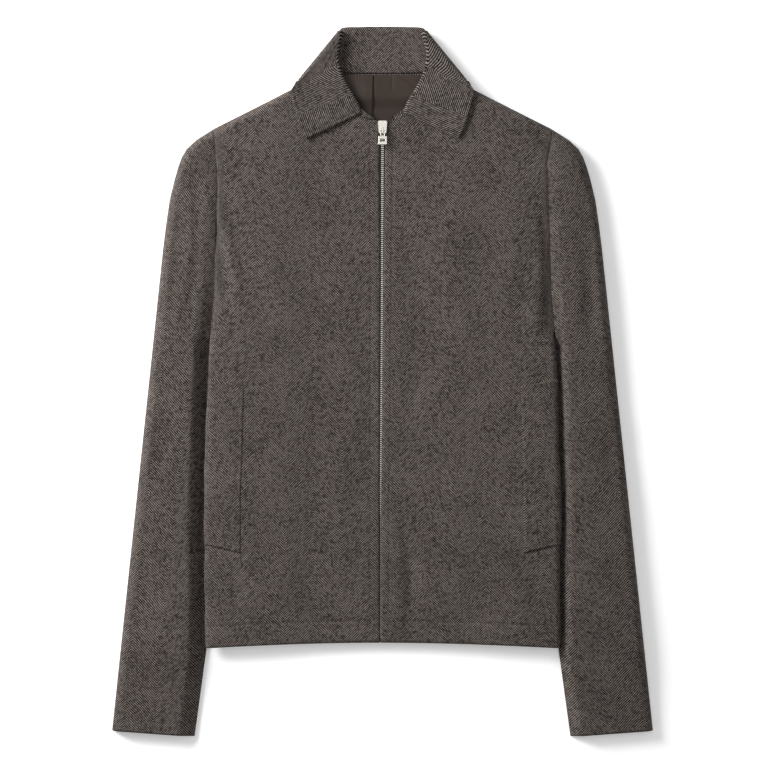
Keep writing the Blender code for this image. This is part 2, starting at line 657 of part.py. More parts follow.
def make_pull():
    """The pull tab: an outline with a loop round the bail at one end and a slot near the other."""
    _, axis_y, axis_z = pull_axis()
    half = PULL_THICK / 2
    bm = bmesh.new()
    blade = box(bm, (-PULL_WIDE / 2, -PULL_LENGTH, -half), (PULL_WIDE / 2, 0.8, half))
    for vert in blade:
        if vert.co.y > 0.0:
            vert.co.x *= PULL_NECK / PULL_WIDE
    upright = [e for e in bm.edges if abs(e.verts[0].co.z - e.verts[1].co.z) > 0.5 * MM]
    bmesh.ops.bevel(
        bm, geom=upright, offset=1.2 * MM, segments=2, profile=0.5, affect="EDGES", material=-1
    )
    pull = add_object("zip_pull", bm, "silver")
    pull.location = (0.0, axis_y * MM, axis_z * MM)
    cuts = [
        (0.5 * (BAIL_WIDTH + 1.0), -PULL_LOOP - 0.8, -0.8),
        (0.5 * PULL_SLOT[0], -PULL_SLOT_AT - PULL_SLOT[1] / 2, -PULL_SLOT_AT + PULL_SLOT[1] / 2),
    ]
    for n, (reach, low_y, high_y) in enumerate(cuts):
        cutter = helper(f"pull_cut_{n}", (-reach, low_y, -2.0), (reach, high_y, 2.0))
        cutter.location = pull.location
        cutter.hide_render = True
        cutter.display_type = "WIRE"
        cut = pull.modifiers.new(f"cut_{n}", "BOOLEAN")
        cut.operation = "DIFFERENCE"
        cut.solver = "EXACT"
        cut.object = cutter
    return pull


clear_scene()
make_back()
front = make_fronts()
make_sleeves()
make_collar()
make_neck_lining()
make_welts(front)
make_zip_tapes()
make_slider()
make_pull()
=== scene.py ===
import math

import bmesh
import bpy
import numpy as np
from mathutils import Matrix, Vector


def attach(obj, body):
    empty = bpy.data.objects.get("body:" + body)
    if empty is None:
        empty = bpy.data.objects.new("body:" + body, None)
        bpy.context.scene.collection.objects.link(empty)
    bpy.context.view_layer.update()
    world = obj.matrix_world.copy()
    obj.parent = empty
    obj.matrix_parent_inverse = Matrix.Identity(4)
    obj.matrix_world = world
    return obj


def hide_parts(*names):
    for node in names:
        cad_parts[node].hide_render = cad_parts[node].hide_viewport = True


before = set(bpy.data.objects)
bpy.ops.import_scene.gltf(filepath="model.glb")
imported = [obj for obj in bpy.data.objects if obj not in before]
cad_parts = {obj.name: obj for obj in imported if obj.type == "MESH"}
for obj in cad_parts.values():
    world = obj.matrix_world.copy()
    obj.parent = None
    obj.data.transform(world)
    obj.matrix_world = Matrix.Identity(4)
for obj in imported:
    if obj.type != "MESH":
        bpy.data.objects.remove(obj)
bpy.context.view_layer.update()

# ---------------------------------------------------------------------------------------------
# The set: the jacket lies on a white light table, under a soft window from the upper left, low enough
# to shade the sides of the body, with a weak fill from the right and a panel overhead. The camera
# looks straight down, at 1.1 mm to each pixel of a picture of 768.
MM = 0.001
PICTURE = 768
PIXEL = 1.1 * MM
CENTRE = (1.65 * MM, -2.75 * MM)  # the picture's middle, on the jacket
CAMERA_HEIGHT = 3.0
JACKET_LEVEL = 0.012  # the height at which a pixel takes in 1.1 mm
SENSOR = 36.0
TABLE_HALF = 4.0
TABLE_LEVEL = -0.0004  # a little under the cloth, so that no two faces share a plane


def linear(code):
    """The linear colour of an sRGB hex code, with full opacity."""
    parts = [int(code[i : i + 2], 16) / 255.0 for i in (0, 2, 4)]
    return (*[p / 12.92 if p <= 0.04045 else ((p + 0.055) / 1.055) ** 2.4 for p in parts], 1.0)


def add_node(tree, kind, inputs=(), **settings):
    """A shader node with its settings, and its inputs in order or by name or number. A node given as an
    input stands for its first output."""
    made = tree.nodes.new(kind)
    for key, value in settings.items():
        setattr(made, key, value)
    for key, value in inputs.items() if isinstance(inputs, dict) else enumerate(inputs):
        if isinstance(value, bpy.types.Node):
            value = value.outputs[0]
        if isinstance(value, bpy.types.NodeSocket):
            tree.links.new(value, made.inputs[key])
        else:
            made.inputs[key].default_value = value
    return made


def new_material(name, **values):
    """A material, its tree and its shader, with these values on the shader's own sockets."""
    made = bpy.data.materials.new(name)
    made.use_nodes = True
    shader = made.node_tree.nodes["Principled BSDF"]
    for key, value in values.items():
        shader.inputs[key.replace("_", " ")].default_value = value
    return made, made.node_tree, shader


# Opal plastic lit from inside: matt and faintly glowing, so that it stays white and its shadows pale.
opal, tree, shader = new_material(
    "white_light_table", Roughness=0.9, Emission_Color=linear("FFFFFF"), Emission_Strength=0.22
)
at = add_node(tree, "ShaderNodeTexCoord")
mottle = add_node(tree, "ShaderNodeTexNoise", {"Vector": at.outputs["Object"], "Scale": 0.5})  # 2 m wide
tone = add_node(tree, "ShaderNodeMapRange", {"Value": mottle, "To Min": 0.95, "To Max": 0.97})
tree.links.new(tone.outputs["Result"], shader.inputs["Base Color"])

bm = bmesh.new()
bmesh.ops.create_grid(bm, x_segments=1, y_segments=1, size=TABLE_HALF)
bmesh.ops.translate(bm, verts=bm.verts, vec=(0.0, 0.0, TABLE_LEVEL))
table_mesh = bpy.data.meshes.new("white_sheet")
bm.to_mesh(table_mesh)
bm.free()
table_mesh.materials.append(opal)
table = bpy.data.objects.new("white_sheet", table_mesh)
bpy.context.scene.collection.objects.link(table)

camera_data = bpy.data.cameras.new("camera")
camera_data.lens = SENSOR * (CAMERA_HEIGHT - JACKET_LEVEL) / (PICTURE * PIXEL)
camera = bpy.data.objects.new("camera", camera_data)
camera.location = (*CENTRE, CAMERA_HEIGHT)
bpy.context.scene.collection.objects.link(camera)
bpy.context.scene.camera = camera
bpy.context.scene.view_settings.view_transform = "Standard"  # lets the table clip to white
bpy.context.scene.cycles.denoising_prefilter = "NONE"  # keeps the weave's fine lines

for name, place, size, power in (  # metres and watts
    ("window_left", (-1.75, 1.05, 1.0), 1.15, 102.0),
    ("fill_right", (2.0, 0.4, 2.0), 1.4, 8.0),
    ("overhead_panel", (0.0, 0.2, 3.15), 1.8, 10.5),
):
    lamp = bpy.data.lights.new(name, "AREA")
    lamp.size = size
    lamp.energy = power
    light = bpy.data.objects.new(name, lamp)
    light.location = place
    light.rotation_euler = Vector(place).to_track_quat("Z", "Y").to_euler()
    bpy.context.scene.collection.objects.link(light)

world = bpy.data.worlds.new("studio")
bpy.context.scene.world = world
world.use_nodes = True
world.node_tree.nodes["Background"].inputs["Color"].default_value = linear("FFFFFF")
world.node_tree.nodes["Background"].inputs["Strength"].default_value = 0.3

# ---------------------------------------------------------------------------------------------
# The cloth: a brown-grey wool tweed in a wide herringbone, with light and dark yarns mixed in each
# twill line. Its columns run down each piece along its own cut and turn over from one to the next.
CLOTH = 2.5  # mm of tweed, interlining and lining
COLUMN = 31.6  # the width of one herringbone column
TWILL = 2.7  # from one twill line to the next, straight across: a little coarser than life, to show
WAVER = 3.0  # how far the columns' edges wander
TURN_SHIFT = 0.37  # of a twill line, where two columns meet
SPECK_ALONG, SPECK_ACROSS = 0.26, 1.1  # specks of yarn to each mm along a line, and to each line
RIB, RIB_PATCHES = 0.5, 0.8  # how dark the lines' edges are, and how much that changes by patches
SPECKS, CLOUDS = 0.7, 0.3  # how much the yarns' specks and the broad clouds show
BASE_TONE = -0.045  # makes the whole cloth a little darker
RELIEF, RIB_RELIEF = 0.0004, 0.35  # metres of the specks' height, and the lines' share of it
WAVER_RATE, PATCH_RATE, CLOUD_RATE = 0.03, 0.18, 0.024  # to each mm of cut: 33, 5.6 and 42 mm across
YARNS = {0.0: "0B0908", 0.3: "1E1A18", 0.5: "352E2B", 0.7: "534B47", 1.0: "7E7671"}
MATH, NOISE = "ShaderNodeMath", "ShaderNodeTexNoise"

# Carded wool, woven and lightly brushed: dry and matt with fine fuzz, so it has no gloss, only a
# faint pale sheen at grazing angles.
tweed, tree, shader = new_material(
    "herringbone_tweed", Roughness=0.95, Specular_IOR_Level=0.15, Sheen_Weight=0.05, Sheen_Roughness=0.5,
    Sheen_Tint=linear("CFC4B8"),
)
cut = add_node(tree, "ShaderNodeUVMap", uv_map="cut")
at = add_node(tree, "ShaderNodeSeparateXYZ", (cut,))
waver = add_node(tree, NOISE, {"Vector": cut, "Scale": WAVER_RATE / MM, "Detail": 1.0})
waver = add_node(tree, MATH, (waver, 0.5), operation="SUBTRACT")
waver = add_node(tree, MATH, (waver, WAVER), operation="MULTIPLY")
across = add_node(tree, MATH, (at.outputs["X"], 1.0 / MM), operation="MULTIPLY")
across = add_node(tree, MATH, (across, waver), operation="ADD")
along = add_node(tree, MATH, (at.outputs["Y"], 1.0 / MM), operation="MULTIPLY")
column = add_node(tree, MATH, (across, COLUMN), operation="DIVIDE")
column = add_node(tree, MATH, (column,), operation="FLOOR")
turn = add_node(tree, MATH, (column, 2.0), operation="FLOORED_MODULO")
turn = add_node(tree, MATH, (2.0, turn), operation="MULTIPLY")
turn = add_node(tree, MATH, (1.0, turn), operation="SUBTRACT")
turned = add_node(tree, MATH, (along, turn), operation="MULTIPLY")
shift = add_node(tree, MATH, (column, TURN_SHIFT), operation="MULTIPLY")
line = add_node(tree, MATH, (across, turned), operation="ADD")
line = add_node(tree, MATH, (line, TWILL), operation="DIVIDE")
line = add_node(tree, MATH, (line, shift), operation="ADD")
rib = add_node(tree, MATH, (line, 2.0 * math.pi), operation="MULTIPLY")
rib = add_node(tree, MATH, (rib,), operation="SINE")
speck_x = add_node(tree, MATH, (across, turned), operation="SUBTRACT")
speck_x = add_node(tree, MATH, (speck_x, SPECK_ALONG), operation="MULTIPLY")
speck_y = add_node(tree, MATH, (line, SPECK_ACROSS), operation="MULTIPLY")
speck_z = add_node(tree, MATH, (column, 7.3), operation="MULTIPLY")  # other specks in each column
speck_at = add_node(tree, "ShaderNodeCombineXYZ", (speck_x, speck_y, speck_z))
specks = add_node(tree, NOISE, {"Vector": speck_at, "Scale": 1.0, "Detail": 0.0})
patches = add_node(tree, NOISE, {"Vector": cut, "Scale": PATCH_RATE / MM, "Detail": 1.0})
clouds = add_node(tree, NOISE, {"Vector": cut, "Scale": CLOUD_RATE / MM, "Detail": 2.0})
depth = add_node(tree, MATH, (patches, 0.5), operation="SUBTRACT")
depth = add_node(tree, MATH, (depth, RIB_PATCHES), operation="MULTIPLY")
depth = add_node(tree, MATH, (RIB, depth), operation="ADD")
tone = add_node(tree, MATH, (rib, depth), operation="MULTIPLY")
shown = add_node(tree, MATH, (specks, SPECKS), operation="MULTIPLY")
tone = add_node(tree, MATH, (tone, shown), operation="ADD")
shown = add_node(tree, MATH, (clouds, CLOUDS), operation="MULTIPLY")
tone = add_node(tree, MATH, (tone, shown), operation="ADD")
tone = add_node(tree, MATH, (tone, BASE_TONE), operation="ADD")
yarns = add_node(tree, "ShaderNodeValToRGB", (tone,))
while len(yarns.color_ramp.elements) < len(YARNS):
    yarns.color_ramp.elements.new(0.5)
for stop, (position, code) in zip(yarns.color_ramp.elements, YARNS.items()):
    stop.position = position
    stop.color = linear(code)
tree.links.new(yarns.outputs["Color"], shader.inputs["Base Color"])
height = add_node(tree, MATH, (rib, RIB_RELIEF), operation="MULTIPLY")
height = add_node(tree, MATH, (height, specks), operation="ADD")
bump = add_node(tree, "ShaderNodeBump", {"Height": height, "Strength": 0.25, "Distance": RELIEF})
tree.links.new(bump.outputs["Normal"], shader.inputs["Normal"])


def smooth(t):
    """0 to 1, level at both ends."""
    t = np.clip(t, 0.0, 1.0)
    return t * t * (3.0 - 2.0 * t)


def dome(t):
    """A quarter round: 0 and steep at an edge, 1 and level further in."""
    return np.sqrt(1.0 - (1.0 - np.clip(t, 0.0, 1.0)) ** 2)


def read(table, at, column=1):
    """One column of a table, read at any value of its first."""
    rows = np.array(table)
    return np.interp(at, rows[:, 0], rows[:, column])


def finished(name, bm, finish, body="jacket", round_off=True):
    """The object of a bmesh whose points are in place."""
    mesh = bpy.data.meshes.new(name)
    bm.to_mesh(mesh)
    bm.free()
    if round_off:
        mesh.shade_smooth()
    mesh.materials.append(finish)
    made = bpy.data.objects.new(name, mesh)
    bpy.context.scene.collection.objects.link(made)
    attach(made, body)
    return made


def cloth_piece(name, node, across, along, place, finish=tweed, wall=CLOTH, upward=True, mirrored=False):
    """A grid laid where place() puts it, in mm, with its cut in the UVs, given the cloth's wall
    inwards from there. It takes the place of a CAD node."""
    bm = bmesh.new()
    bmesh.ops.create_grid(bm, x_segments=across, y_segments=along, size=0.5)
    share = np.array([vert.co[:2] for vert in bm.verts]) + 0.5
    point, cut = place(share[:, 0], share[:, 1])
    if mirrored:
        point = point * np.array([-1.0, 1.0, 1.0])
        cut = cut * np.array([-1.0, 1.0])
    for vert, where in zip(bm.verts, point):
        vert.co = where * MM
    layer = bm.loops.layers.uv.new("cut")
    for face in bm.faces:
        for loop in face.loops:
            loop[layer].uv = cut[loop.vert.index] * MM
    bm.normal_update()
    if (sum(face.normal.z * face.calc_area() for face in bm.faces) > 0.0) != upward:
        bmesh.ops.reverse_faces(bm, faces=bm.faces)
    made = finished(name, bm, finish)
    thick = made.modifiers.new("wall", "SOLIDIFY")
    thick.thickness = wall * MM
    thick.offset = -1.0
    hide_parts(node)
    return made


# ---------------------------------------------------------------------------------------------
# The fronts: a panel each side of the zip, of tweed with its interlining. Each runs from the hem to
# the shoulder and neck seams; its side is folded round and tucked under, where the side seam is.
# The edges at the zip and the hem are turned in and topstitched.
GAP = 0.3  # between the walls of pieces that lie together; this and all sizes that follow are in mm
SIDES = (("left", -1), ("right", 1))
HEM_SIDE = -294.0
HEM_CENTRE = -287.5
UNDERARM_LOW = 34.0
UNDERARM_HIGH = 60.0
NECK_HALF = 62.0
SHOULDER_END = 277.0
TOP_CENTRE = 12.4  # the body's thickness at the zip
TOP_SIDE = 16.5  # and at its sides
SLEEVE_LAP = 7.5  # the sleeve's thickness where it lies under the body
SIDE_TUCK = 18.0  # how far the side seam lies in from the sleeve's inner fold
BODY_ROLL = 7.0
EDGE_ROLL = 10.0
BACK_RISE = 2.8  # over the collar, behind the neck
BODY_HALF = [  # y, half width
    (HEM_SIDE, 195.3), (-130.0, 195.8), (-75.0, 193.9), (-20.0, 192.5), (35.0, 190.6), (60.0, 189.0),
    (100.0, 185.4), (155.0, 184.0), (200.0, 182.4), (238.0, 181.6), (SHOULDER_END, 186.5),
]
SHOULDER_HALF = BODY_HALF[-1][1]
OUTLINE = [  # x, y, from the neck over the shoulder and down the sleeve
    (NECK_HALF, 340.8), (133.7, 305.0), (186.5, 278.4), (206.3, 265.7), (216.0, 256.5), (221.5, 247.0),
    (225.5, 236.0), (229.5, 222.0), (234.9, 199.7), (238.7, 173.3), (242.0, 146.9), (298.3, -384.5),
]
SLEEVE_OUTER = [(y, x) for x, y in reversed(OUTLINE[5:])]
SLEEVE_INNER = [(-391.0, 207.4), (56.0, 146.2)]  # y, half width
NECK_CURVE = [
    (3.0, 286.6), (14.0, 288.0), (30.0, 293.0), (46.0, 305.0), (57.0, 322.0), (60.3, 333.0),
    (NECK_HALF, 340.8),
]
ZIP_LINE = [  # y, x, half the gap between the front edges
    (HEM_SIDE, -2.4, 0.5), (-130.0, -2.2, 0.9), (100.0, -0.6, 1.6), (286.6, 0.0, 3.0),
]
FOLD_SHARE = 0.16  # of the columns, for the side fold
ZIP_SHARE, ZIP_STRIP = 0.15, 0.085  # of the columns, for this much of the width next to the zip
HEM_SHARE, HEM_STRIP = 0.1, 0.055  # and of the rows, above the hem
SHOULDER_SHARE = 0.1  # of the rows, for the round of the shoulder's edge
SHOULDER_STRIP = 1.7 * EDGE_ROLL
TOPSTITCH = {1: 8.8, -1: 10.6}  # in from the zip edge, on the right and on the left
HEM_STITCH = 24.0
COLUMN_START = 13.2  # out from the zip, where the first herringbone column begins
FOLD_CUT = 18.0  # of the cut goes round the side fold
# Soft folds: x, y at one end, x, y at the other, depth, half width
FRONT_FOLDS = {
    -1: [
        (-196.0, 205.0, -168.0, 70.0, 2.0, 7.0), (-181.0, 215.0, -150.0, 95.0, 1.4, 6.0),
        (-165.0, 190.0, -132.0, 60.0, 0.9, 8.0), (-150.0, -60.0, -60.0, -200.0, 0.6, 18.0),
        (-120.0, 150.0, -60.0, 20.0, 0.5, 20.0), (-30.0, 120.0, -20.0, -120.0, 0.6, 10.0),
        (-175.0, -190.0, -150.0, -280.0, 0.8, 9.0), (-90.0, -200.0, -96.0, -285.0, 0.7, 10.0),
    ],
    1: [
        (24.0, -150.0, 30.0, -276.0, 2.2, 8.0), (176.0, 190.0, 178.0, 50.0, 1.8, 6.0),
        (160.0, 170.0, 140.0, 40.0, 0.8, 9.0), (60.0, -60.0, 130.0, -200.0, 0.6, 18.0),
        (110.0, 160.0, 60.0, 30.0, 0.5, 20.0), (40.0, 130.0, 26.0, -60.0, 0.7, 11.0),
        (172.0, -200.0, 160.0, -282.0, 0.9, 9.0), (96.0, -215.0, 88.0, -288.0, 0.7, 10.0),
    ],
}


def folds(table, x, y):
    """How far the named folds push a point down: soft troughs that die away at their ends."""
    total = np.zeros(np.shape(x))
    for ax, ay, bx, by, depth, half in table:
        length = math.hypot(bx - ax, by - ay)
        along = ((x - ax) * (bx - ax) + (y - ay) * (by - ay)) / length**2
        bow = 0.04 * length * np.sin(math.pi * np.clip(along, 0.0, 1.0))
        off = ((x - ax) * (by - ay) - (y - ay) * (bx - ax)) / length + bow
        fade = smooth((along + 0.15) / 0.4) * smooth((1.15 - along) / 0.4)
        beside = 0.35 * np.exp(-(((off - 1.9 * half) / half) ** 2))
        total += depth * fade * (np.exp(-((off / half) ** 2)) - beside)
    return total


def ripple(x, y):
    """The cloth's slight unevenness everywhere."""
    broad = np.sin(0.021 * x + 0.013 * y + 0.6) * np.sin(0.017 * y - 0.009 * x + 1.9)
    small = np.sin(0.047 * x - 0.031 * y + 2.2) * np.sin(0.039 * y + 0.022 * x)
    return 0.45 * broad + 0.22 * small


def groove(distance, depth, half):
    """The depth of a soft groove at this distance from its line."""
    return depth * np.exp(-((distance / half) ** 2))


def edge_distance(x, y):
    """How far a point lies inside the garment's outer edge."""
    best = np.full(np.shape(x), 1e9)
    for (ax, ay), (bx, by) in zip(OUTLINE, OUTLINE[1:]):
        along = ((x - ax) * (bx - ax) + (y - ay) * (by - ay)) / ((bx - ax) ** 2 + (by - ay) ** 2)
        along = np.clip(along, 0.0, 1.0)
        best = np.minimum(best, np.hypot(x - ax - along * (bx - ax), y - ay - along * (by - ay)))
    return best


def back_level(x, y):
    """The height of the back panel's outside, flat on the table but for the neck."""
    return BACK_RISE * smooth((y - 299.0) / 16.0) * smooth((126.0 - np.abs(x)) / 22.0)


def body_crown(x):
    """The height of the front's face before its folds."""
    return TOP_CENTRE + (TOP_SIDE - TOP_CENTRE) * smooth((np.abs(x) - 20.0) / 130.0)


def rounded_down(level, x, y):
    """Brings a face down in a round at the garment's outer edge, to just above the back."""
    low = back_level(x, y) + CLOTH + 2.0 * GAP
    return low + (level - low) * dome(edge_distance(x, y) / EDGE_ROLL)


def shoulder(x):
    """The y of the front's top edge: the neck's curve, then the shoulder seam."""
    neck = np.interp(x, [p[0] for p in NECK_CURVE], [p[1] for p in NECK_CURVE])
    seam = np.interp(x, [p[0] for p in OUTLINE[:3]], [p[1] for p in OUTLINE[:3]])
    return np.where(x < NECK_HALF, neck, seam)


def hem(x):
    return HEM_CENTRE + (HEM_SIDE - HEM_CENTRE) * (np.abs(x) / BODY_HALF[0][1]) ** 2


def armhole_dip(distance, y):
    """The seam's own valley, and the hollow that the arm's weight pulls beside it."""
    wide = groove(distance, 1.7, 13.0) * smooth((215.0 - y) / 70.0)
    deep = groove(distance, 4.2, 8.0) * smooth((135.0 - y) / 90.0)
    hollow = (wide + deep) * smooth((y - 20.0) / 60.0)
    return (groove(distance, 0.9, 2.2) + hollow) * smooth((270.0 - y) / 14.0) * smooth((y - 44.0) / 16.0)


WELT_TOP = -1.0
WELT_BOTTOM = -184.0
WELT_WIDTH = 40.0
WELT_SLANT = 10.0  # how much lower its ends lie at the side than at the front edge


def welt_line(inward, y):
    """The seams that sink the front along the top and bottom of each pocket welt."""
    across = smooth((WELT_WIDTH + 1.5 - inward) / 2.0)
    slanted = y + WELT_SLANT * (inward / WELT_WIDTH - 0.5)
    ends = groove(slanted - WELT_TOP - 0.8, 1.3, 1.1) + groove(slanted - WELT_BOTTOM + 0.8, 1.3, 1.1)
    return across * ends


def front_at(on_top, past, y, sign):
    """A front's outer points for +X: on_top goes from the zip to the side, past round its fold."""
    side = read(BODY_HALF, y)
    start = read(ZIP_LINE, y, 1) * sign + read(ZIP_LINE, y, 2)
    flat_x = start + (side - BODY_ROLL - start) * on_top + (BODY_ROLL - GAP / 2) * past
    ease = smooth(edge_distance(flat_x, y) / 22.0) * smooth((flat_x - start) / 8.0 + 0.3)
    level = body_crown(flat_x)
    level += ease * (ripple(flat_x * sign, y) - folds(FRONT_FOLDS[sign], flat_x * sign, y))
    level -= armhole_dip(side - flat_x, y)
    from_zip, from_hem = flat_x - start, y - hem(flat_x)
    level -= groove(from_zip, 1.0, 1.3) + groove(from_zip - TOPSTITCH[sign], 0.4, 1.1)
    level -= groove(from_hem, 1.3, 1.6) + groove(from_hem - HEM_STITCH, 0.9, 1.3)
    level -= welt_line(side - flat_x, y)
    level = rounded_down(level, flat_x, y)
    # The side fold: a half turn that runs out at the underarm, then tucked in as far as the side seam.
    run_out = UNDERARM_LOW + 12.0
    reach = 1.0 - smooth((y - UNDERARM_LOW) / (run_out - UNDERARM_LOW))
    turned = 1.0 - smooth((y - run_out) / (UNDERARM_HIGH - run_out))
    round_part = 1.0 - reach / 2
    angle = math.pi * turned * np.minimum(past / round_part, 1.0)
    low = SLEEVE_LAP + GAP
    begin = side - BODY_ROLL
    stop = np.minimum(read(SLEEVE_INNER, y) - 4.0, begin - 2.0)
    seam = read(SLEEVE_INNER, y) - SIDE_TUCK + GAP / 2
    under = 2.0 * np.clip((past - round_part) / np.maximum(1.0 - round_part, 1e-6), 0.0, 1.0)
    across, down = np.minimum(under, 1.0), np.maximum(under - 1.0, 0.0)
    wobble = (0.5 * np.sin(0.045 * y + 1.3 * sign) + 0.35 * np.sin(0.11 * y)) * np.sin(angle)
    tucked = reach * (across * (begin - stop) + down * (stop - seam))
    fold_x = begin + BODY_ROLL * np.sin(angle) + wobble - tucked
    fold_z = (level + low) / 2 + (level - low) / 2 * np.cos(angle) - reach * low * smooth(1.4 * down)
    share = smooth(turned) * (past > 0.0)
    cut_x = flat_x + past * (1.0 + 1.1 * reach) * FOLD_CUT
    point = np.stack([flat_x + (fold_x - flat_x) * share, y, level + (fold_z - level) * share], axis=1)
    return point, np.stack([cut_x + COLUMN_START * sign, y], axis=1)


def front_surface(u, v, sign):
    """u from the zip to the side and round it, v from the hem to the neck and the shoulder. Rows and
    columns lie closer where the edges are turned in and stitched."""
    top_share = 1.0 - FOLD_SHARE
    on_top = np.interp(u / top_share, [0.0, ZIP_SHARE, 1.0], [0.0, ZIP_STRIP, 1.0])
    past = np.clip((u - top_share) / FOLD_SHARE, 0.0, 1.0)
    zip_top, side_top = ZIP_LINE[-1][2], SHOULDER_HALF - BODY_ROLL
    top_x = zip_top + (side_top - zip_top) * on_top + BODY_ROLL * past
    top, bottom = shoulder(top_x), hem(top_x)
    knee = top - SHOULDER_STRIP
    below = 1.0 - SHOULDER_SHARE
    lower = np.interp(v / below, [0.0, HEM_SHARE, 1.0], [0.0, HEM_STRIP, 1.0])
    round_y = top - SHOULDER_STRIP * (np.clip(1.0 - v, 0.0, 1.0) / SHOULDER_SHARE) ** 1.6
    return front_at(on_top, past, np.where(v < below, bottom + (knee - bottom) * lower, round_y), sign)


for side, sign in SIDES:
    piece = cloth_piece(
        f"front_panel_{side}", f"front_{side}", 130, 250, lambda u, v: front_surface(u, v, sign),
        mirrored=sign < 0,
    )

# ---------------------------------------------------------------------------------------------
# Pocket welts: a strip of the same tweed over each side pocket, its ends slanting. It is sewn down at
# both ends and runs round the side fold. Its front edge is turned in and lies free.
WELT_PROUD = 1.0  # how far its outer face stands off the front's
WELT_FOLD_SHARE = 0.2  # of the columns, for the side fold
WELT_ROUND = 0.3  # of the side fold that it goes round
WELT_CUT_SHIFT = (3.0, 1.5)  # so that its herringbone doesn't quite run on from the front's


def welt_surface(u, v, sign):
    """u from the free front edge to the side and round it, v from bottom to top."""
    face = 1.0 - WELT_FOLD_SHARE
    on_side = np.clip((u - face) / WELT_FOLD_SHARE, 0.0, 1.0)
    inward = WELT_WIDTH * (1.0 - np.clip(u / face, 0.0, 1.0) * (1.0 - BODY_ROLL / WELT_WIDTH))
    y = WELT_BOTTOM + (WELT_TOP - WELT_BOTTOM) * v - WELT_SLANT * (inward / WELT_WIDTH - 0.5)

    def on_front(inward, on_side, y):
        side, start = read(BODY_HALF, y), read(ZIP_LINE, y, 1) * sign + read(ZIP_LINE, y, 2)
        on_top = np.clip((side - inward - start) / (side - BODY_ROLL - start), 0.0, 1.0)
        return front_at(on_top, WELT_ROUND * on_side, y, sign)

    point, cut = on_front(inward, on_side, y)
    beside, _ = on_front(inward - 0.5 * (on_side == 0.0), on_side + 0.02, y)
    above, _ = on_front(inward, on_side, y + 0.5)
    normal = np.cross(beside - point, above - point)
    normal /= np.linalg.norm(normal, axis=1, keepdims=True)
    from_front, from_end = WELT_WIDTH - inward, np.minimum(v, 1.0 - v) * (WELT_TOP - WELT_BOTTOM)
    proud = 0.1 + (WELT_PROUD - 0.1) * dome(from_front / 5.5) * dome(from_end / 2.5)
    proud -= groove(from_end - 4.5, 0.45, 1.1) + groove(from_front - 5.0, 0.3, 1.2)
    return point + normal * proud[:, None], cut + np.array(WELT_CUT_SHIFT)


for side, sign in SIDES:
    piece = cloth_piece(
        f"welt_{side}", f"pocket_welt_{side}", 44, 150, lambda u, v: welt_surface(u, v, sign), wall=0.8,
        mirrored=sign < 0,
    )

# ---------------------------------------------------------------------------------------------
# The back: one panel of the same cloth. Its outside is the face that lies flat on the table; it
# rises a little at the neck, over the collar.
BACK_NECK = 339.85  # y of the neck seam at its ends, 1 mm above its middle
BACK_ARMHOLE = [  # y, half width
    (36.0, 131.0), (56.0, 147.5), (80.0, 163.0), (110.0, 174.0), (150.0, 180.0), (200.0, 181.0),
    (240.0, 182.5), (SHOULDER_END, 186.5),
]


def back_surface(u, v):
    """u from side to side, v from the hem to the neck and the shoulders."""
    share = 2.0 * u - 1.0
    top_x = np.abs(share) * SHOULDER_HALF
    neck = BACK_NECK - (1.0 - (top_x / NECK_HALF) ** 2)
    top = np.where(top_x < NECK_HALF, neck, shoulder(top_x))
    y = hem(top_x) + (top - hem(top_x)) * v
    seam = read(SLEEVE_INNER, y) - SIDE_TUCK
    tuck = np.where(y < BACK_ARMHOLE[0][0], seam, read(BACK_ARMHOLE, y))
    x = share * (tuck - GAP)
    return np.stack([x, y, back_level(x, y)], axis=1), np.stack([x + COLUMN_START, y], axis=1)


back = cloth_piece("back_panel", "back", 96, 120, back_surface, upward=False)

# ---------------------------------------------------------------------------------------------
# The sleeves: two-piece, with a seam down the outer edge and one at the inner fold. The top piece
# shows and the under piece lies on the table. Both pass under the body's side. The cuff is plain.
SLEEVE_CROWN = 18.5  # the height of the sleeve's face
CUFF_CROWN = 13.0
SLEEVE_FALL = {1: 13.0, -1: 19.0}  # from its crown down to the body, on the right and on the left
SLEEVE_LOW = 5.4  # at the bottom of the cleft beside the body
CUT_START = {1: -11.0, -1: -13.0}  # of the herringbone's columns, at the outer seam
SLEEVE_LEVELS = [  # share up the sleeve, y at the inner end, y at the outer end
    (0.0, -391.0, -384.5), (0.14, -300.0, -294.0), (0.5, 5.0, 10.0), (0.56, 34.0, 38.0), (0.62, 60.0, 64.0),
    (0.68, 100.0, 100.0), (0.76, 155.0, 150.0), (0.83, 200.0, 190.0), (0.89, 238.0, 219.0),
    (0.93, 262.0, 234.0), (0.965, 272.0, 242.0), (1.0, 277.6, 247.0),
]
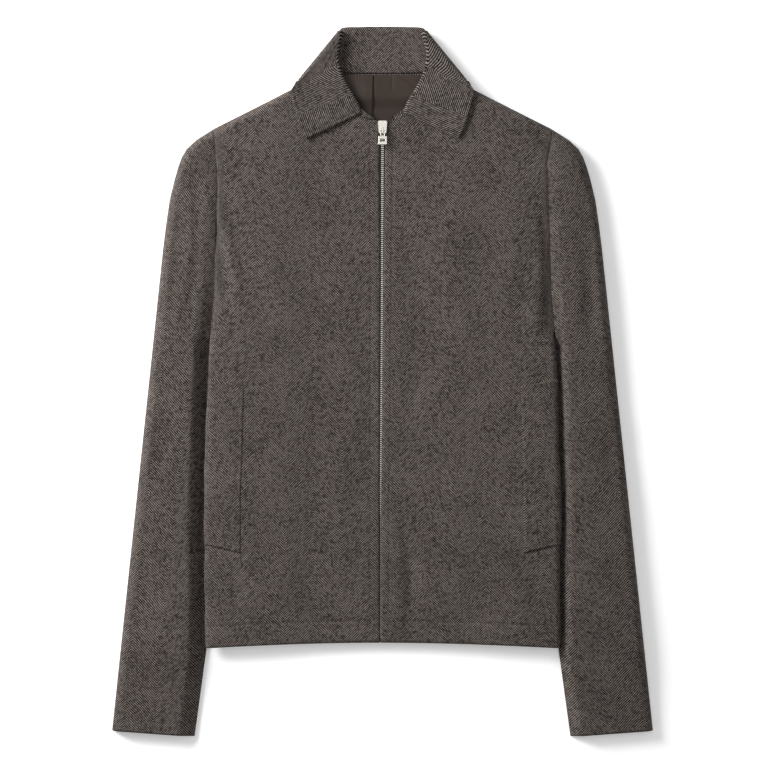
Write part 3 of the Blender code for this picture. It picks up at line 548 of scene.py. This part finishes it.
SLEEVE_FOLDS = {
    1: [
        (222.0, 210.0, 226.0, 60.0, 1.2, 8.0), (206.0, 190.0, 232.0, 30.0, 1.0, 7.0),
        (246.0, 60.0, 250.0, -120.0, 0.9, 9.0), (225.0, -20.0, 262.0, -110.0, 1.2, 9.0),
        (232.0, -110.0, 268.0, -60.0, 0.9, 8.0), (240.0, -180.0, 276.0, -240.0, 0.8, 10.0),
        (236.0, -300.0, 270.0, -350.0, 0.8, 9.0), (262.0, 20.0, 240.0, -60.0, 0.7, 10.0),
    ],
    -1: [
        (-205.0, 235.0, -214.0, 60.0, 1.6, 7.0), (-222.0, 225.0, -230.0, 90.0, 1.0, 8.0),
        (-250.0, 80.0, -246.0, -90.0, 0.8, 9.0), (-225.0, -30.0, -262.0, -120.0, 1.0, 9.0),
        (-236.0, -150.0, -272.0, -110.0, 0.9, 8.0), (-244.0, -220.0, -280.0, -270.0, 0.8, 10.0),
        (-240.0, -310.0, -272.0, -350.0, 0.7, 9.0), (-262.0, 0.0, -244.0, -70.0, 0.6, 10.0),
    ],
}
RIM = 7.0  # the outer seam's rim, in from the sleeve's edge
LAP_FULL = 8.0  # y, below which the sleeve's inner fold lies full under the body's side
UNDER_TURN = 50.0  # y, where the under piece's edge passes from that fold to the armhole
CAP_START = 0.93  # share up the sleeve, where its cap begins


def sleeve_ends(w, inner_at):
    """The inner and outer ends of each straight row across a sleeve."""
    inner_y, outer_y = read(SLEEVE_LEVELS, w, 1), read(SLEEVE_LEVELS, w, 2)
    return inner_at(inner_y), inner_y, read(SLEEVE_OUTER, outer_y), outer_y


def top_inner_edge(y):
    """The half width at the upper piece's inner edge: the armhole, then the fold under the body."""
    lapped = 1.0 - smooth((y - LAP_FULL) / (UNDERARM_LOW - LAP_FULL))
    out = smooth((y - UNDERARM_LOW) / 6.0)
    clear = out * (1.0 + 2.0 * smooth((UNDERARM_HIGH - y) / 4.0))
    seam = read(BODY_HALF, y) - 3.0 * (1.0 - out) + GAP / 2 * clear + 2.0 * GAP * smooth((y - 262.0) / 15.0)
    return seam + (read(SLEEVE_INNER, y) - seam) * lapped


def to_shoulder(x, y, t, v):
    """Bends the last straight rows of a sleeve out to the garment's rounded shoulder."""
    cap = np.array(OUTLINE[5:1:-1])
    share = np.append(0.0, np.cumsum(np.hypot(*np.diff(cap, axis=0).T)))
    share /= share[-1]
    swell = smooth((v - CAP_START) / (1.0 - CAP_START))
    out = [np.interp(t, share, cap[:, k]) - cap[0, k] - (cap[-1, k] - cap[0, k]) * t for k in (0, 1)]
    return x + swell * out[0], y + swell * out[1]


def sleeve_top_surface(u, v, sign):
    """u from the outer seam to the inner edge, v from the cuff to the cap. Columns lie closer at both
    edges, for their rounds."""
    inner_x, inner_y, outer_x, outer_y = sleeve_ends(v, top_inner_edge)
    reach = np.hypot(inner_x - outer_x, inner_y - outer_y)
    t = np.where(u < 0.2, 0.2 * (u / 0.2) ** 1.7, u)
    t = np.where(u > 0.9, 1.0 - 0.1 * ((1.0 - t) / 0.1) ** 1.5, t)
    x, y = to_shoulder(outer_x + (inner_x - outer_x) * t, outer_y + (inner_y - outer_y) * t, t, v)
    below_hem = smooth((-285.0 - y) / 30.0)
    edge = read(BODY_HALF, y) + (read(SLEEVE_INNER, y) - read(BODY_HALF, y)) * below_hem
    risen = smooth((y - UNDERARM_LOW) / (UNDERARM_HIGH - UNDERARM_LOW))
    low = SLEEVE_LOW + (TOP_SIDE - SLEEVE_LOW) * risen
    crown = SLEEVE_CROWN + (CUFF_CROWN - SLEEVE_CROWN) * smooth((-270.0 - y) / 115.0)
    settled = smooth((262.0 - y) / 30.0)
    crown = crown + settled * (ripple(x * sign, y) - folds(SLEEVE_FOLDS[sign], x * sign, y))
    rise = smooth((x - edge) / SLEEVE_FALL[sign])
    level = low + (crown - low) * rise - armhole_dip(x - edge, y) * (y > 40.0)
    level = level - groove(edge_distance(x, y) - RIM, 0.35, 1.6) * settled
    lapped = 1.0 - smooth((y - LAP_FULL) / (UNDERARM_LOW - LAP_FULL))
    fold = 1.0 + (dome((x - inner_x) / 6.0) - 1.0) * lapped
    base = CLOTH + GAP
    z = base + (rounded_down(level, x, y) - base) * fold
    return np.stack([x, y, z], axis=1), np.stack([reach * t + CUT_START[sign], y], axis=1)


def under_inner_edge(y):
    return np.where(y < UNDER_TURN, read(SLEEVE_INNER, y), read(BACK_ARMHOLE, y) + GAP)


def sleeve_under_surface(u, v):
    inner_x, inner_y, outer_x, outer_y = sleeve_ends(v, under_inner_edge)
    x, y = to_shoulder(outer_x + (inner_x - outer_x) * u, outer_y + (inner_y - outer_y) * u, u, v)
    return np.stack([x, y, 0.0 * x], axis=1), np.stack([outer_x - x, y], axis=1)


for side, sign in SIDES:
    piece = cloth_piece(
        f"sleeve_upper_{side}", f"sleeve_top_{side}", 70, 230, lambda u, v: sleeve_top_surface(u, v, sign),
        mirrored=sign < 0,
    )
    under = cloth_piece(
        f"sleeve_lower_{side}", f"sleeve_under_{side}", 24, 120, sleeve_under_surface, upward=False,
        mirrored=sign < 0,
    )

# ---------------------------------------------------------------------------------------------
# The collar: a stand round the neck and a pointed leaf that rolls over it, lies on the fronts, and
# turns under at the shoulders to pass behind the neck. The leaf's edge is topstitched.
COLLAR_FRONT = [  # sections from the front end on: inner edge x, y, outer edge x, y
    (25.5, 294.0, 83.6, 266.0), (29.5, 306.0, 90.5, 281.0), (40.0, 323.5, 97.0, 301.0),
    (47.6, 340.0, 100.6, 317.0), (50.6, 358.0, 98.6, 323.0),
]
COLLAR_SIDE = (49.6, 385.4, 93.4, 331.8)
COLLAR_BACK = [(39.5, 386.3, 78.0, 330.2), (24.0, 387.4, 44.0, 327.5), (0.0, 388.2, 0.0, 326.5)]
STAND_FRONT = [
    (9.8, 288.0, 10.6, 289.8), (18.0, 289.7, 16.6, 294.4), (25.8, 292.2, 22.8, 299.4),
    (31.6, 294.7, 30.0, 308.5), (45.5, 305.4, 42.4, 323.5), (55.9, 323.2, 49.4, 340.0),
    (58.6, 334.0, 51.8, 358.0),
]
STAND_SIDE = (63.0, 342.4, 50.0, 385.8)
STAND_BACK = [(56.0, 341.3, 43.5, 389.3), (30.0, 340.2, 26.0, 390.2), (0.0, 339.6, 0.0, 390.6)]
TURN_ANGLES = [35.0, 62.0, 90.0, 125.0, 155.0]  # where sections are set round the turn at the shoulder
LEAF_TURN, STAND_TURN = 7.0, 3.6  # how far these turns reach out
ROLL_SHARE = 0.16  # of the leaf's columns, for its roll
ROLL_ANGLE, ROLL_ANGLE_BEHIND = 96.0, 46.0  # degrees that the roll turns, at the front and behind the neck
ROLL_RADIUS = CLOTH + 0.5
ROLL_DROP = 2.6  # of the leaf's inner edge below its face
COLLAR_STITCH = 4.4  # in from the leaf's edge
COLLAR_COLUMN_START = 15.8  # out from the centre back
MIRROR = np.array([-1.0, 1.0, 1.0])


def collar_sections(front, side, back, turn, top_lift, bottom):
    """First point, last point and outward normal of each section, front end to centre back."""
    made = []
    for ax, ay, bx, by in front:
        levels = [float(body_crown(x)) + top_lift for x in (ax, bx)]
        made.append(((ax, ay, levels[0]), (bx, by, levels[1]), (0.0, 0.0, 1.0)))
    ax, ay, bx, by = side
    outward = np.array([by - ay, ax - bx, 0.0])
    outward *= np.sign(outward[0]) / np.linalg.norm(outward)
    high = float(body_crown(bx)) + top_lift
    middle, reach = (high + bottom) / 2, (high - bottom) / 2
    for angle in np.radians(TURN_ANGLES):
        shift = outward * turn * (math.sin(angle) - 1.0) + np.array([0, 0, middle + reach * math.cos(angle)])
        normal = outward * math.sin(angle) / turn + np.array([0.0, 0.0, math.cos(angle) / reach])
        made.append((shift + (ax, ay, 0.0), shift + (bx, by, 0.0), normal / np.linalg.norm(normal)))
    for ax, ay, bx, by in back:
        made.append(((ax, ay, bottom), (bx, by, bottom), (0.0, 0.0, -1.0)))
    return [np.array([section[k] for section in made], float) for k in range(3)]


def stations(sections):
    """How far along its middle line each section lies from the front end."""
    middle = (sections[0] + sections[1]) / 2
    return np.concatenate([[0.0], np.cumsum(np.linalg.norm(np.diff(middle, axis=0), axis=1))])


def spline(rows, places, at):
    """Rows read at distances along the collar, on a smooth curve that goes on past the centre back."""
    rows = np.concatenate([rows, rows[-2:-1] * MIRROR])
    places = np.append(places, 2 * places[-1] - places[-2])
    slope = np.empty_like(rows)
    slope[1:-1] = (rows[2:] - rows[:-2]) / (places[2:] - places[:-2])[:, None]
    slope[0], slope[-1] = (rows[1] - rows[0]) / (places[1] - places[0]), 0.0
    i = np.clip(np.searchsorted(places, at, side="right") - 1, 0, len(places) - 3)
    gap = (places[i + 1] - places[i])[:, None]
    t = (at - places[i])[:, None] / gap
    from_rows = (2 * t**3 - 3 * t**2 + 1) * rows[i] + (3 * t**2 - 2 * t**3) * rows[i + 1]
    return from_rows + (t**3 - 2 * t**2 + t) * gap * slope[i] + (t**3 - t**2) * gap * slope[i + 1]


def collar_at(sections, roll, u, v):
    """v goes from the left front end round the back to the right one, u from the roll outwards. roll is
    the share of u that bends round into the neck: none on the stand."""
    places = stations(sections)
    at = (1.0 - np.abs(2.0 * v - 1.0)) * places[-1]
    first, last, normal = (spline(rows, places, at) for rows in sections)
    normal /= np.linalg.norm(normal, axis=1, keepdims=True)
    across = last - first
    width = np.linalg.norm(across, axis=1, keepdims=True)
    across = across / width
    share = np.clip((u - roll) / (1.0 - roll), 0.0, 1.0)[:, None]
    out = share * width
    rolled = float(roll > 0.0)
    on_top = np.clip(normal[:, 2:], 0.0, 1.0)
    behind = np.clip(-normal[:, 2:], 0.0, 1.0)  # there the stand's own edge covers the roll
    turn = np.radians(ROLL_ANGLE + (ROLL_ANGLE_BEHIND - ROLL_ANGLE) * behind)
    before = (u / max(roll, 1e-6))[:, None]
    bend = np.clip(1.0 - before, 0.0, 1.0) * turn * rolled
    down = np.clip(1.0 - 3.0 * before, 0.0, 1.0) * ROLL_DROP * rolled * (1.0 - behind)
    wave = 0.5 * np.sin(9.0 * v + 4.0 * u)[:, None] * np.sin(math.pi * share)
    lift = (wave + 1.3 * share**3 * rolled) * on_top
    for inside in (width - out, at[:, None]):  # the turned edge and its topstitch
        lift -= (groove(inside - COLLAR_STITCH, 0.5, 1.1) + groove(inside, 0.8, 1.2)) * rolled
    lift += (1.0 - rolled) * 1.4 * smooth(1.0 - (width - out) / 4.0) * behind
    point = first + across * (out - ROLL_RADIUS * np.sin(bend))
    point = point + normal * (ROLL_RADIUS * (np.cos(bend) - 1.0) - down + lift)
    point[:, 2] = np.maximum(point[:, 2], 0.0)  # it lies on the table behind the neck
    point = np.where((v < 0.5)[:, None], point * MIRROR, point)
    along = (places[-1] - at) * np.where(v < 0.5, -1.0, 1.0)
    return point, np.stack([along + COLLAR_COLUMN_START, -out[:, 0]], axis=1)


leaf_sections = collar_sections(COLLAR_FRONT, COLLAR_SIDE, COLLAR_BACK, LEAF_TURN, GAP + CLOTH, 0.0)
leaf = cloth_piece(
    "collar_fall", "collar_leaf", 64, 300, lambda u, v: collar_at(leaf_sections, ROLL_SHARE, u, v)
)
stand_sections = collar_sections(STAND_FRONT, STAND_SIDE, STAND_BACK, STAND_TURN, 0.0, CLOTH + GAP)
stand = cloth_piece(
    "collar_band", "collar_stand", 24, 240, lambda u, v: collar_at(stand_sections, 0.0, u, v), upward=False
)

# ---------------------------------------------------------------------------------------------
# The lining inside the neck: dark brown satin on the back panel, with a pressed ease pleat down the
# middle, a light crease beside it and a slanting seam at the right.
LINING_HALF = 52.0
LINING_END = 262.0
NECK_SEAM = 340.0
PLEAT_X = -9.9
LINING = 1.0  # the satin's wall
LINING_LIFT = 1.2  # of the satin above the back's inside
SLUB_RATE = 0.16  # to each mm: slubs about 6 mm long


def lining_surface(u, v):
    """u from left to right, its columns closer at the pleat, v up to the neck seam. The pleat opens
    into a wedge downwards: a lifted edge at the left and a sunk strip beside it."""
    columns = [-LINING_HALF, PLEAT_X - 5.0, PLEAT_X + 4.0, 30.0, LINING_HALF]
    x = np.interp(u, [0.0, 0.3, 0.6, 0.85, 1.0], columns)
    top = NECK_SEAM - 2.0
    y = LINING_END + (top - LINING_END) * v
    wedge = 1.2 + 3.4 * (NECK_SEAM - y) / 50.0
    left, right = PLEAT_X - wedge / 2, PLEAT_X + wedge / 2
    pleat = 0.8 * (1.0 + smooth((top - y) / 30.0))
    pleat *= smooth((left + 0.6 - x) / 0.6) * smooth((x - PLEAT_X + 26.0) / 20.0)
    pleat -= 0.9 * smooth((right + 0.6 - x) / 1.2) * smooth((x - left) / 0.6)
    crease = groove(x - 10.5 - 0.02 * (y - 330.0), 0.35, 1.2) * smooth((y - 318.0) / 6.0)
    slant = groove((x - 21.5 + 1.35 * (y - 336.0)) / 1.7, 0.6, 1.0)
    sag = 0.3 * np.sin(0.11 * x + 0.05 * y)
    z = back_level(x, y) + CLOTH + GAP + LINING_LIFT + pleat - crease - slant + sag
    return np.stack([x, y, z], axis=1), np.stack([x, y], axis=1)


# Viscose satin, woven smooth and pressed: dark brown with a soft broad gloss, its tone slightly
# uneven from the yarn. Inputs 6 and 7 of a Mix node in colour are its two colours.
satin, tree, shader = new_material(
    "lining_satin", Roughness=0.5, Specular_IOR_Level=0.35, Sheen_Weight=0.1
)
cut = add_node(tree, "ShaderNodeUVMap", uv_map="cut")
slub = add_node(tree, NOISE, {"Vector": cut, "Scale": SLUB_RATE / MM, "Detail": 2.0})
tone = add_node(tree, "ShaderNodeMix", {0: slub, 6: linear("22180F"), 7: linear("2F2119")}, data_type="RGBA")
tree.links.new(tone.outputs[2], shader.inputs["Base Color"])
lining = cloth_piece(
    "neck_lining_satin", "neck_lining", 120, 60, lining_surface, finish=satin, wall=LINING
)

# ---------------------------------------------------------------------------------------------
# The zip's tapes: woven polyester, 13 mm wide, sewn flat under each front edge. Their inner edges
# carry the teeth.
TAPE_WIDTH = 13.0
TAPE_LEVEL = 8.2
TAPE_THICK = 1.0
TAPE_RIB_RATE = 0.5  # a Wave node's bands lie 0.314 over this apart: ribs of 0.63 mm
TAPE_LOW, TAPE_HIGH = HEM_CENTRE + 4.0, ZIP_LINE[-1][0] - 3.0


def tape_surface(u, v, sign):
    y = TAPE_LOW + (TAPE_HIGH - TAPE_LOW) * v
    near = read(ZIP_LINE, y, 1) * sign + GAP / 2
    x = near + TAPE_WIDTH * u
    return np.stack([x, y, 0.0 * x + TAPE_LEVEL + TAPE_THICK], axis=1), np.stack([x, y], axis=1)


# Polyester, woven in fine ribs: matt and nearly black, so it shows as a dark line beside the teeth.
tape, tree, shader = new_material("zip_tape_weave", Roughness=0.85)
cut = add_node(tree, "ShaderNodeUVMap", uv_map="cut")
ribs = add_node(tree, "ShaderNodeTexWave", {"Vector": cut, "Scale": TAPE_RIB_RATE / MM}, bands_direction="X")
ribs = ribs.outputs["Fac"]
tone = add_node(tree, "ShaderNodeMix", {0: ribs, 6: linear("100D0C"), 7: linear("231E1B")}, data_type="RGBA")
tree.links.new(tone.outputs[2], shader.inputs["Base Color"])
for side, sign in SIDES:
    piece = cloth_piece(
        f"zip_band_{side}", f"zip_tape_{side}", 6, 60, lambda u, v: tape_surface(u, v, sign), finish=tape,
        wall=TAPE_THICK, mirrored=sign < 0,
    )

# ---------------------------------------------------------------------------------------------
# The zip's metal: teeth stamped from brass strip and plated, clenched on the tapes' edges from the
# slider to the hem, and a die-cast slider, plated and polished, with a bail on top.
TOOTH_PITCH = 2.2  # the real zip's teeth are closer; this is as fine as the picture shows
TOOTH_LENGTH = 1.0
TOOTH_TOP_LOW, TOOTH_TOP = 9.3, 11.2  # they lie deeper between the edges near the hem
TOOTH_GLINT_RATE, SLIDER_GRAIN_RATE = 0.4, 0.9  # to each mm: dull and bright marks of 2.5 and 1.1 mm
TOOTH_STAGGER = 0.12  # half of what sets the two rows apart, along the zip and in height
SLIDER_Y = 279.5
TOOTH_REACH = [(-170.0, 0.35), (-110.0, 0.8), (100.0, 1.2), (SLIDER_Y, 1.6)]  # y, what shows on each side
SLIDER_HALF, SLIDER_TAIL_HALF, SLIDER_LONG = 5.5, 4.3, 15.0  # half width above, and at its tail, and length
SLIDER_BASE = TOP_CENTRE + 0.4
SLIDER_TOP = SLIDER_BASE + 1.8
PULL_AXIS = (0.0, SLIDER_Y - 4.2, SLIDER_BASE + 3.3)
BAIL_HALF, BAIL_LONG, BAIL_POST, BAIL_RISE = 1.2, 6.4, 1.1, 3.9  # a post's length, the bail's height
BAIL_LOW = PULL_AXIS[1] - 2.8  # y of its lower end


def block(bm, low, high, round_by=0.0, segments=2):
    """A block between two corners in mm, its edges rounded."""
    verts = bmesh.ops.create_cube(bm, size=1.0)["verts"]
    bmesh.ops.scale(bm, vec=np.subtract(high, low) * MM, verts=verts)
    bmesh.ops.translate(bm, vec=(np.add(high, low) / 2) * MM, verts=verts)
    if round_by:
        edges = [edge for edge in bm.edges if edge.verts[0] in verts]
        bmesh.ops.bevel(
            bm, geom=edges, offset=round_by * MM, segments=segments, profile=0.5, affect="EDGES", material=-1
        )
    return verts


bm = bmesh.new()
for y in np.arange(HEM_CENTRE + 6.0, SLIDER_Y - 7.0, TOOTH_PITCH):
    middle = float(read(ZIP_LINE, y, 1))
    top = TOOTH_TOP_LOW + (TOOTH_TOP - TOOTH_TOP_LOW) * float(smooth((y + 150.0) / 60.0))
    for sign in (-1, 1):
        near, far = sorted((middle - GAP / 2 * sign, middle + float(read(TOOTH_REACH, y)) * sign))
        shift = TOOTH_STAGGER * sign
        low = (near, y + shift - TOOTH_LENGTH / 2, TAPE_LEVEL + TAPE_THICK)
        block(bm, low, (far, y + shift + TOOTH_LENGTH / 2, top + shift))

# Plated brass, brushed but not polished. Its colour carries painted glints: random bright marks on some
# teeth, dull grey between.
dull, tree, shader = new_material("brushed_tooth_metal", Metallic=1.0, Roughness=0.35)
at = add_node(tree, "ShaderNodeTexCoord")
# painted glints: noise that turns some teeth bright and leaves others dull grey
painted_glint_marks = add_node(tree, NOISE, {"Vector": at.outputs["Object"], "Scale": TOOTH_GLINT_RATE / MM, "Detail": 1.0})
tone = add_node(tree, "ShaderNodeMix", {0: painted_glint_marks, 6: linear("9C9993"), 7: linear("E6E3DC")}, data_type="RGBA")
tree.links.new(tone.outputs[2], shader.inputs["Base Color"])
teeth = finished("zip_teeth", bm, dull, round_off=False)

bm = bmesh.new()
plate_low = (-SLIDER_HALF, -SLIDER_LONG / 2, SLIDER_BASE)
for vert in block(bm, plate_low, (SLIDER_HALF, SLIDER_LONG / 2, SLIDER_TOP)):
    if vert.co.y < 0.0:
        vert.co.x *= SLIDER_TAIL_HALF / SLIDER_HALF
    vert.co.y += SLIDER_Y * MM
upright = [edge for edge in bm.edges if abs(edge.verts[0].co.z - edge.verts[1].co.z) > 0.5 * MM]
bmesh.ops.bevel(bm, geom=upright, offset=2.2 * MM, segments=6, profile=0.5, affect="EDGES", material=-1)
rim = [
    edge for edge in bm.edges
    if min(vert.co.z for vert in edge.verts) > (SLIDER_TOP - 0.1) * MM and edge.calc_face_angle(0.0) > 0.5
]
bmesh.ops.bevel(bm, geom=rim, offset=0.45 * MM, segments=3, profile=0.5, affect="EDGES", material=-1)
block(bm, (-1.7, SLIDER_Y - 3.0, 9.5), (1.7, SLIDER_Y + 3.0, SLIDER_BASE + 0.5), 0.3)
for post in (BAIL_LOW, BAIL_LOW + BAIL_LONG - BAIL_POST):
    low = (-BAIL_HALF, post, SLIDER_TOP - 0.5)
    block(bm, low, (BAIL_HALF, post + BAIL_POST, SLIDER_TOP + BAIL_RISE - 0.1), 0.3)
low = (-BAIL_HALF, BAIL_LOW, SLIDER_TOP + BAIL_RISE - 1.1)
block(bm, low, (BAIL_HALF, BAIL_LOW + BAIL_LONG, SLIDER_TOP + BAIL_RISE), 0.45, 3)

# Zinc casting, nickel plated and polished: pale silver with sharp highlights and dark reflections.
silver, tree, shader = new_material("polished_zip_silver", Metallic=1.0, Roughness=0.22)
at = add_node(tree, "ShaderNodeTexCoord")
cast = add_node(tree, NOISE, {"Vector": at.outputs["Object"], "Scale": SLIDER_GRAIN_RATE / MM, "Detail": 1.0})
tone = add_node(tree, "ShaderNodeMix", {0: cast, 6: linear("BEBBB2"), 7: linear("E4E1D8")}, data_type="RGBA")
tree.links.new(tone.outputs[2], shader.inputs["Base Color"])
slider = finished("zip_slider_body", bm, silver, round_off=False)
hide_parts("zip_slider")

# ---------------------------------------------------------------------------------------------
# The pull tab: cast in the same plated zinc, a flat plate with a slot across it and a fork whose pin
# passes through the slider's bail. It lies down towards the hem and turns on that pin.
PULL_HALF, PULL_END = 4.7, -15.0
PLATE_TOP, SLOT_LOW, SLOT_HIGH, SLOT_HALF = -5.6, -11.9, -8.7, 2.5
PLATE_THICK, FORK_THICK = 0.65, 0.5  # halves
FORK_OUT, FORK_IN = 2.5, 1.5  # half widths
bm = bmesh.new()
for low_x, low_y, high_x, high_y, thick in (  # from the pin: the plate round its slot, the fork, the pin
    (-PULL_HALF, PULL_END, PULL_HALF, SLOT_LOW, PLATE_THICK),
    (-PULL_HALF, SLOT_HIGH, PULL_HALF, PLATE_TOP, PLATE_THICK),
    (-PULL_HALF, SLOT_LOW - 0.5, -SLOT_HALF, SLOT_HIGH + 0.5, PLATE_THICK),
    (SLOT_HALF, SLOT_LOW - 0.5, PULL_HALF, SLOT_HIGH + 0.5, PLATE_THICK),
    (-FORK_OUT, PLATE_TOP - 0.6, -FORK_IN, 0.8, FORK_THICK),
    (FORK_IN, PLATE_TOP - 0.6, FORK_OUT, 0.8, FORK_THICK),
    (-FORK_OUT, -0.75, FORK_OUT, 0.75, FORK_THICK),
):
    axis = np.array(PULL_AXIS)
    block(bm, axis + (low_x, low_y, -thick), axis + (high_x, high_y, thick), 0.3)
pull = finished("zip_pull_tab", bm, silver, body="pull_tab", round_off=False)
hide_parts("zip_pull")

# ---------------------------------------------------------------------------------------------
# The stitching: dark brown polyester thread, sewn by machine along both front edges, above the hem,
# round the collar's leaf and across the welts' ends. Each stitch is a small bar sunk in its groove.
STITCH_PITCH = 3.4
STITCH_LONG, STITCH_WIDE, STITCH_HIGH = 2.3, 0.55, 0.5
TWIST_RATE = 0.6  # to each mm: a change of tone about every 1.7 mm, coarser than the real twist, to show

# Spun thread, darker than the cloth: half matt, with a slightly uneven tone from its twist.
thread, tree, shader = new_material("dark_thread", Roughness=0.6)
at = add_node(tree, "ShaderNodeTexCoord")
twist = add_node(tree, NOISE, {"Vector": at.outputs["Object"], "Scale": TWIST_RATE / MM, "Detail": 1.0})
tone = add_node(tree, "ShaderNodeMix", {0: twist, 6: linear("191412"), 7: linear("39312C")}, data_type="RGBA")
tree.links.new(tone.outputs[2], shader.inputs["Base Color"])


def stitches(bm, line):
    """Bars laid end to end, with gaps, along a line of points on the cloth."""
    length = np.concatenate([[0.0], np.cumsum(np.linalg.norm(np.diff(line, axis=0), axis=1))])
    size = Matrix.Diagonal((STITCH_LONG * MM, STITCH_WIDE * MM, STITCH_HIGH * MM, 1.0))
    for start in np.arange(STITCH_PITCH, length[-1] - STITCH_PITCH, STITCH_PITCH):
        at = (start, start + STITCH_LONG)
        first, last = np.stack([np.interp(at, length, line[:, k]) for k in range(3)], axis=1)
        run = Vector((last - first).tolist()).normalized()
        turn = run.to_track_quat("X", "Z").to_matrix().to_4x4()
        place = Matrix.Translation(((first + last) / 2 * MM).tolist())
        bmesh.ops.create_cube(bm, size=1.0, matrix=place @ turn @ size)


bm = bmesh.new()
for sign in (-1, 1):
    flip = np.array([sign, 1.0, 1.0])
    y = np.linspace(HEM_CENTRE + 6.0, 282.0, 200)
    start = read(ZIP_LINE, y, 1) * sign + read(ZIP_LINE, y, 2)
    on_top = TOPSTITCH[sign] / (read(BODY_HALF, y) - BODY_ROLL - start)
    stitches(bm, front_at(on_top, 0.0 * y, y, sign)[0] * flip)
    on_top = np.linspace(ZIP_STRIP, 1.0, 120)
    x = on_top * (BODY_HALF[0][1] - BODY_ROLL)
    stitches(bm, front_at(on_top, 0.0 * x, hem(x) + HEM_STITCH, sign)[0] * flip)
    for v in (0.024, 0.976):
        u = np.linspace(0.12, 0.97, 20)
        stitches(bm, welt_surface(u, 0.0 * u + v, sign)[0] * flip)
v = np.linspace(0.01, 0.99, 400)
places = stations(leaf_sections)
width = np.linalg.norm(leaf_sections[1] - leaf_sections[0], axis=1)
inset = COLLAR_STITCH / np.interp((1.0 - np.abs(2.0 * v - 1.0)) * places[-1], places, width)
stitches(bm, collar_at(leaf_sections, ROLL_SHARE, 1.0 - (1.0 - ROLL_SHARE) * inset, v)[0])
for v in (COLLAR_STITCH / (2 * places[-1]), 1.0 - COLLAR_STITCH / (2 * places[-1])):
    u = np.linspace(0.2, 0.95, 30)
    stitches(bm, collar_at(leaf_sections, ROLL_SHARE, u, 0.0 * u + v)[0])
stitching = finished("stitching", bm, thread, round_off=False)
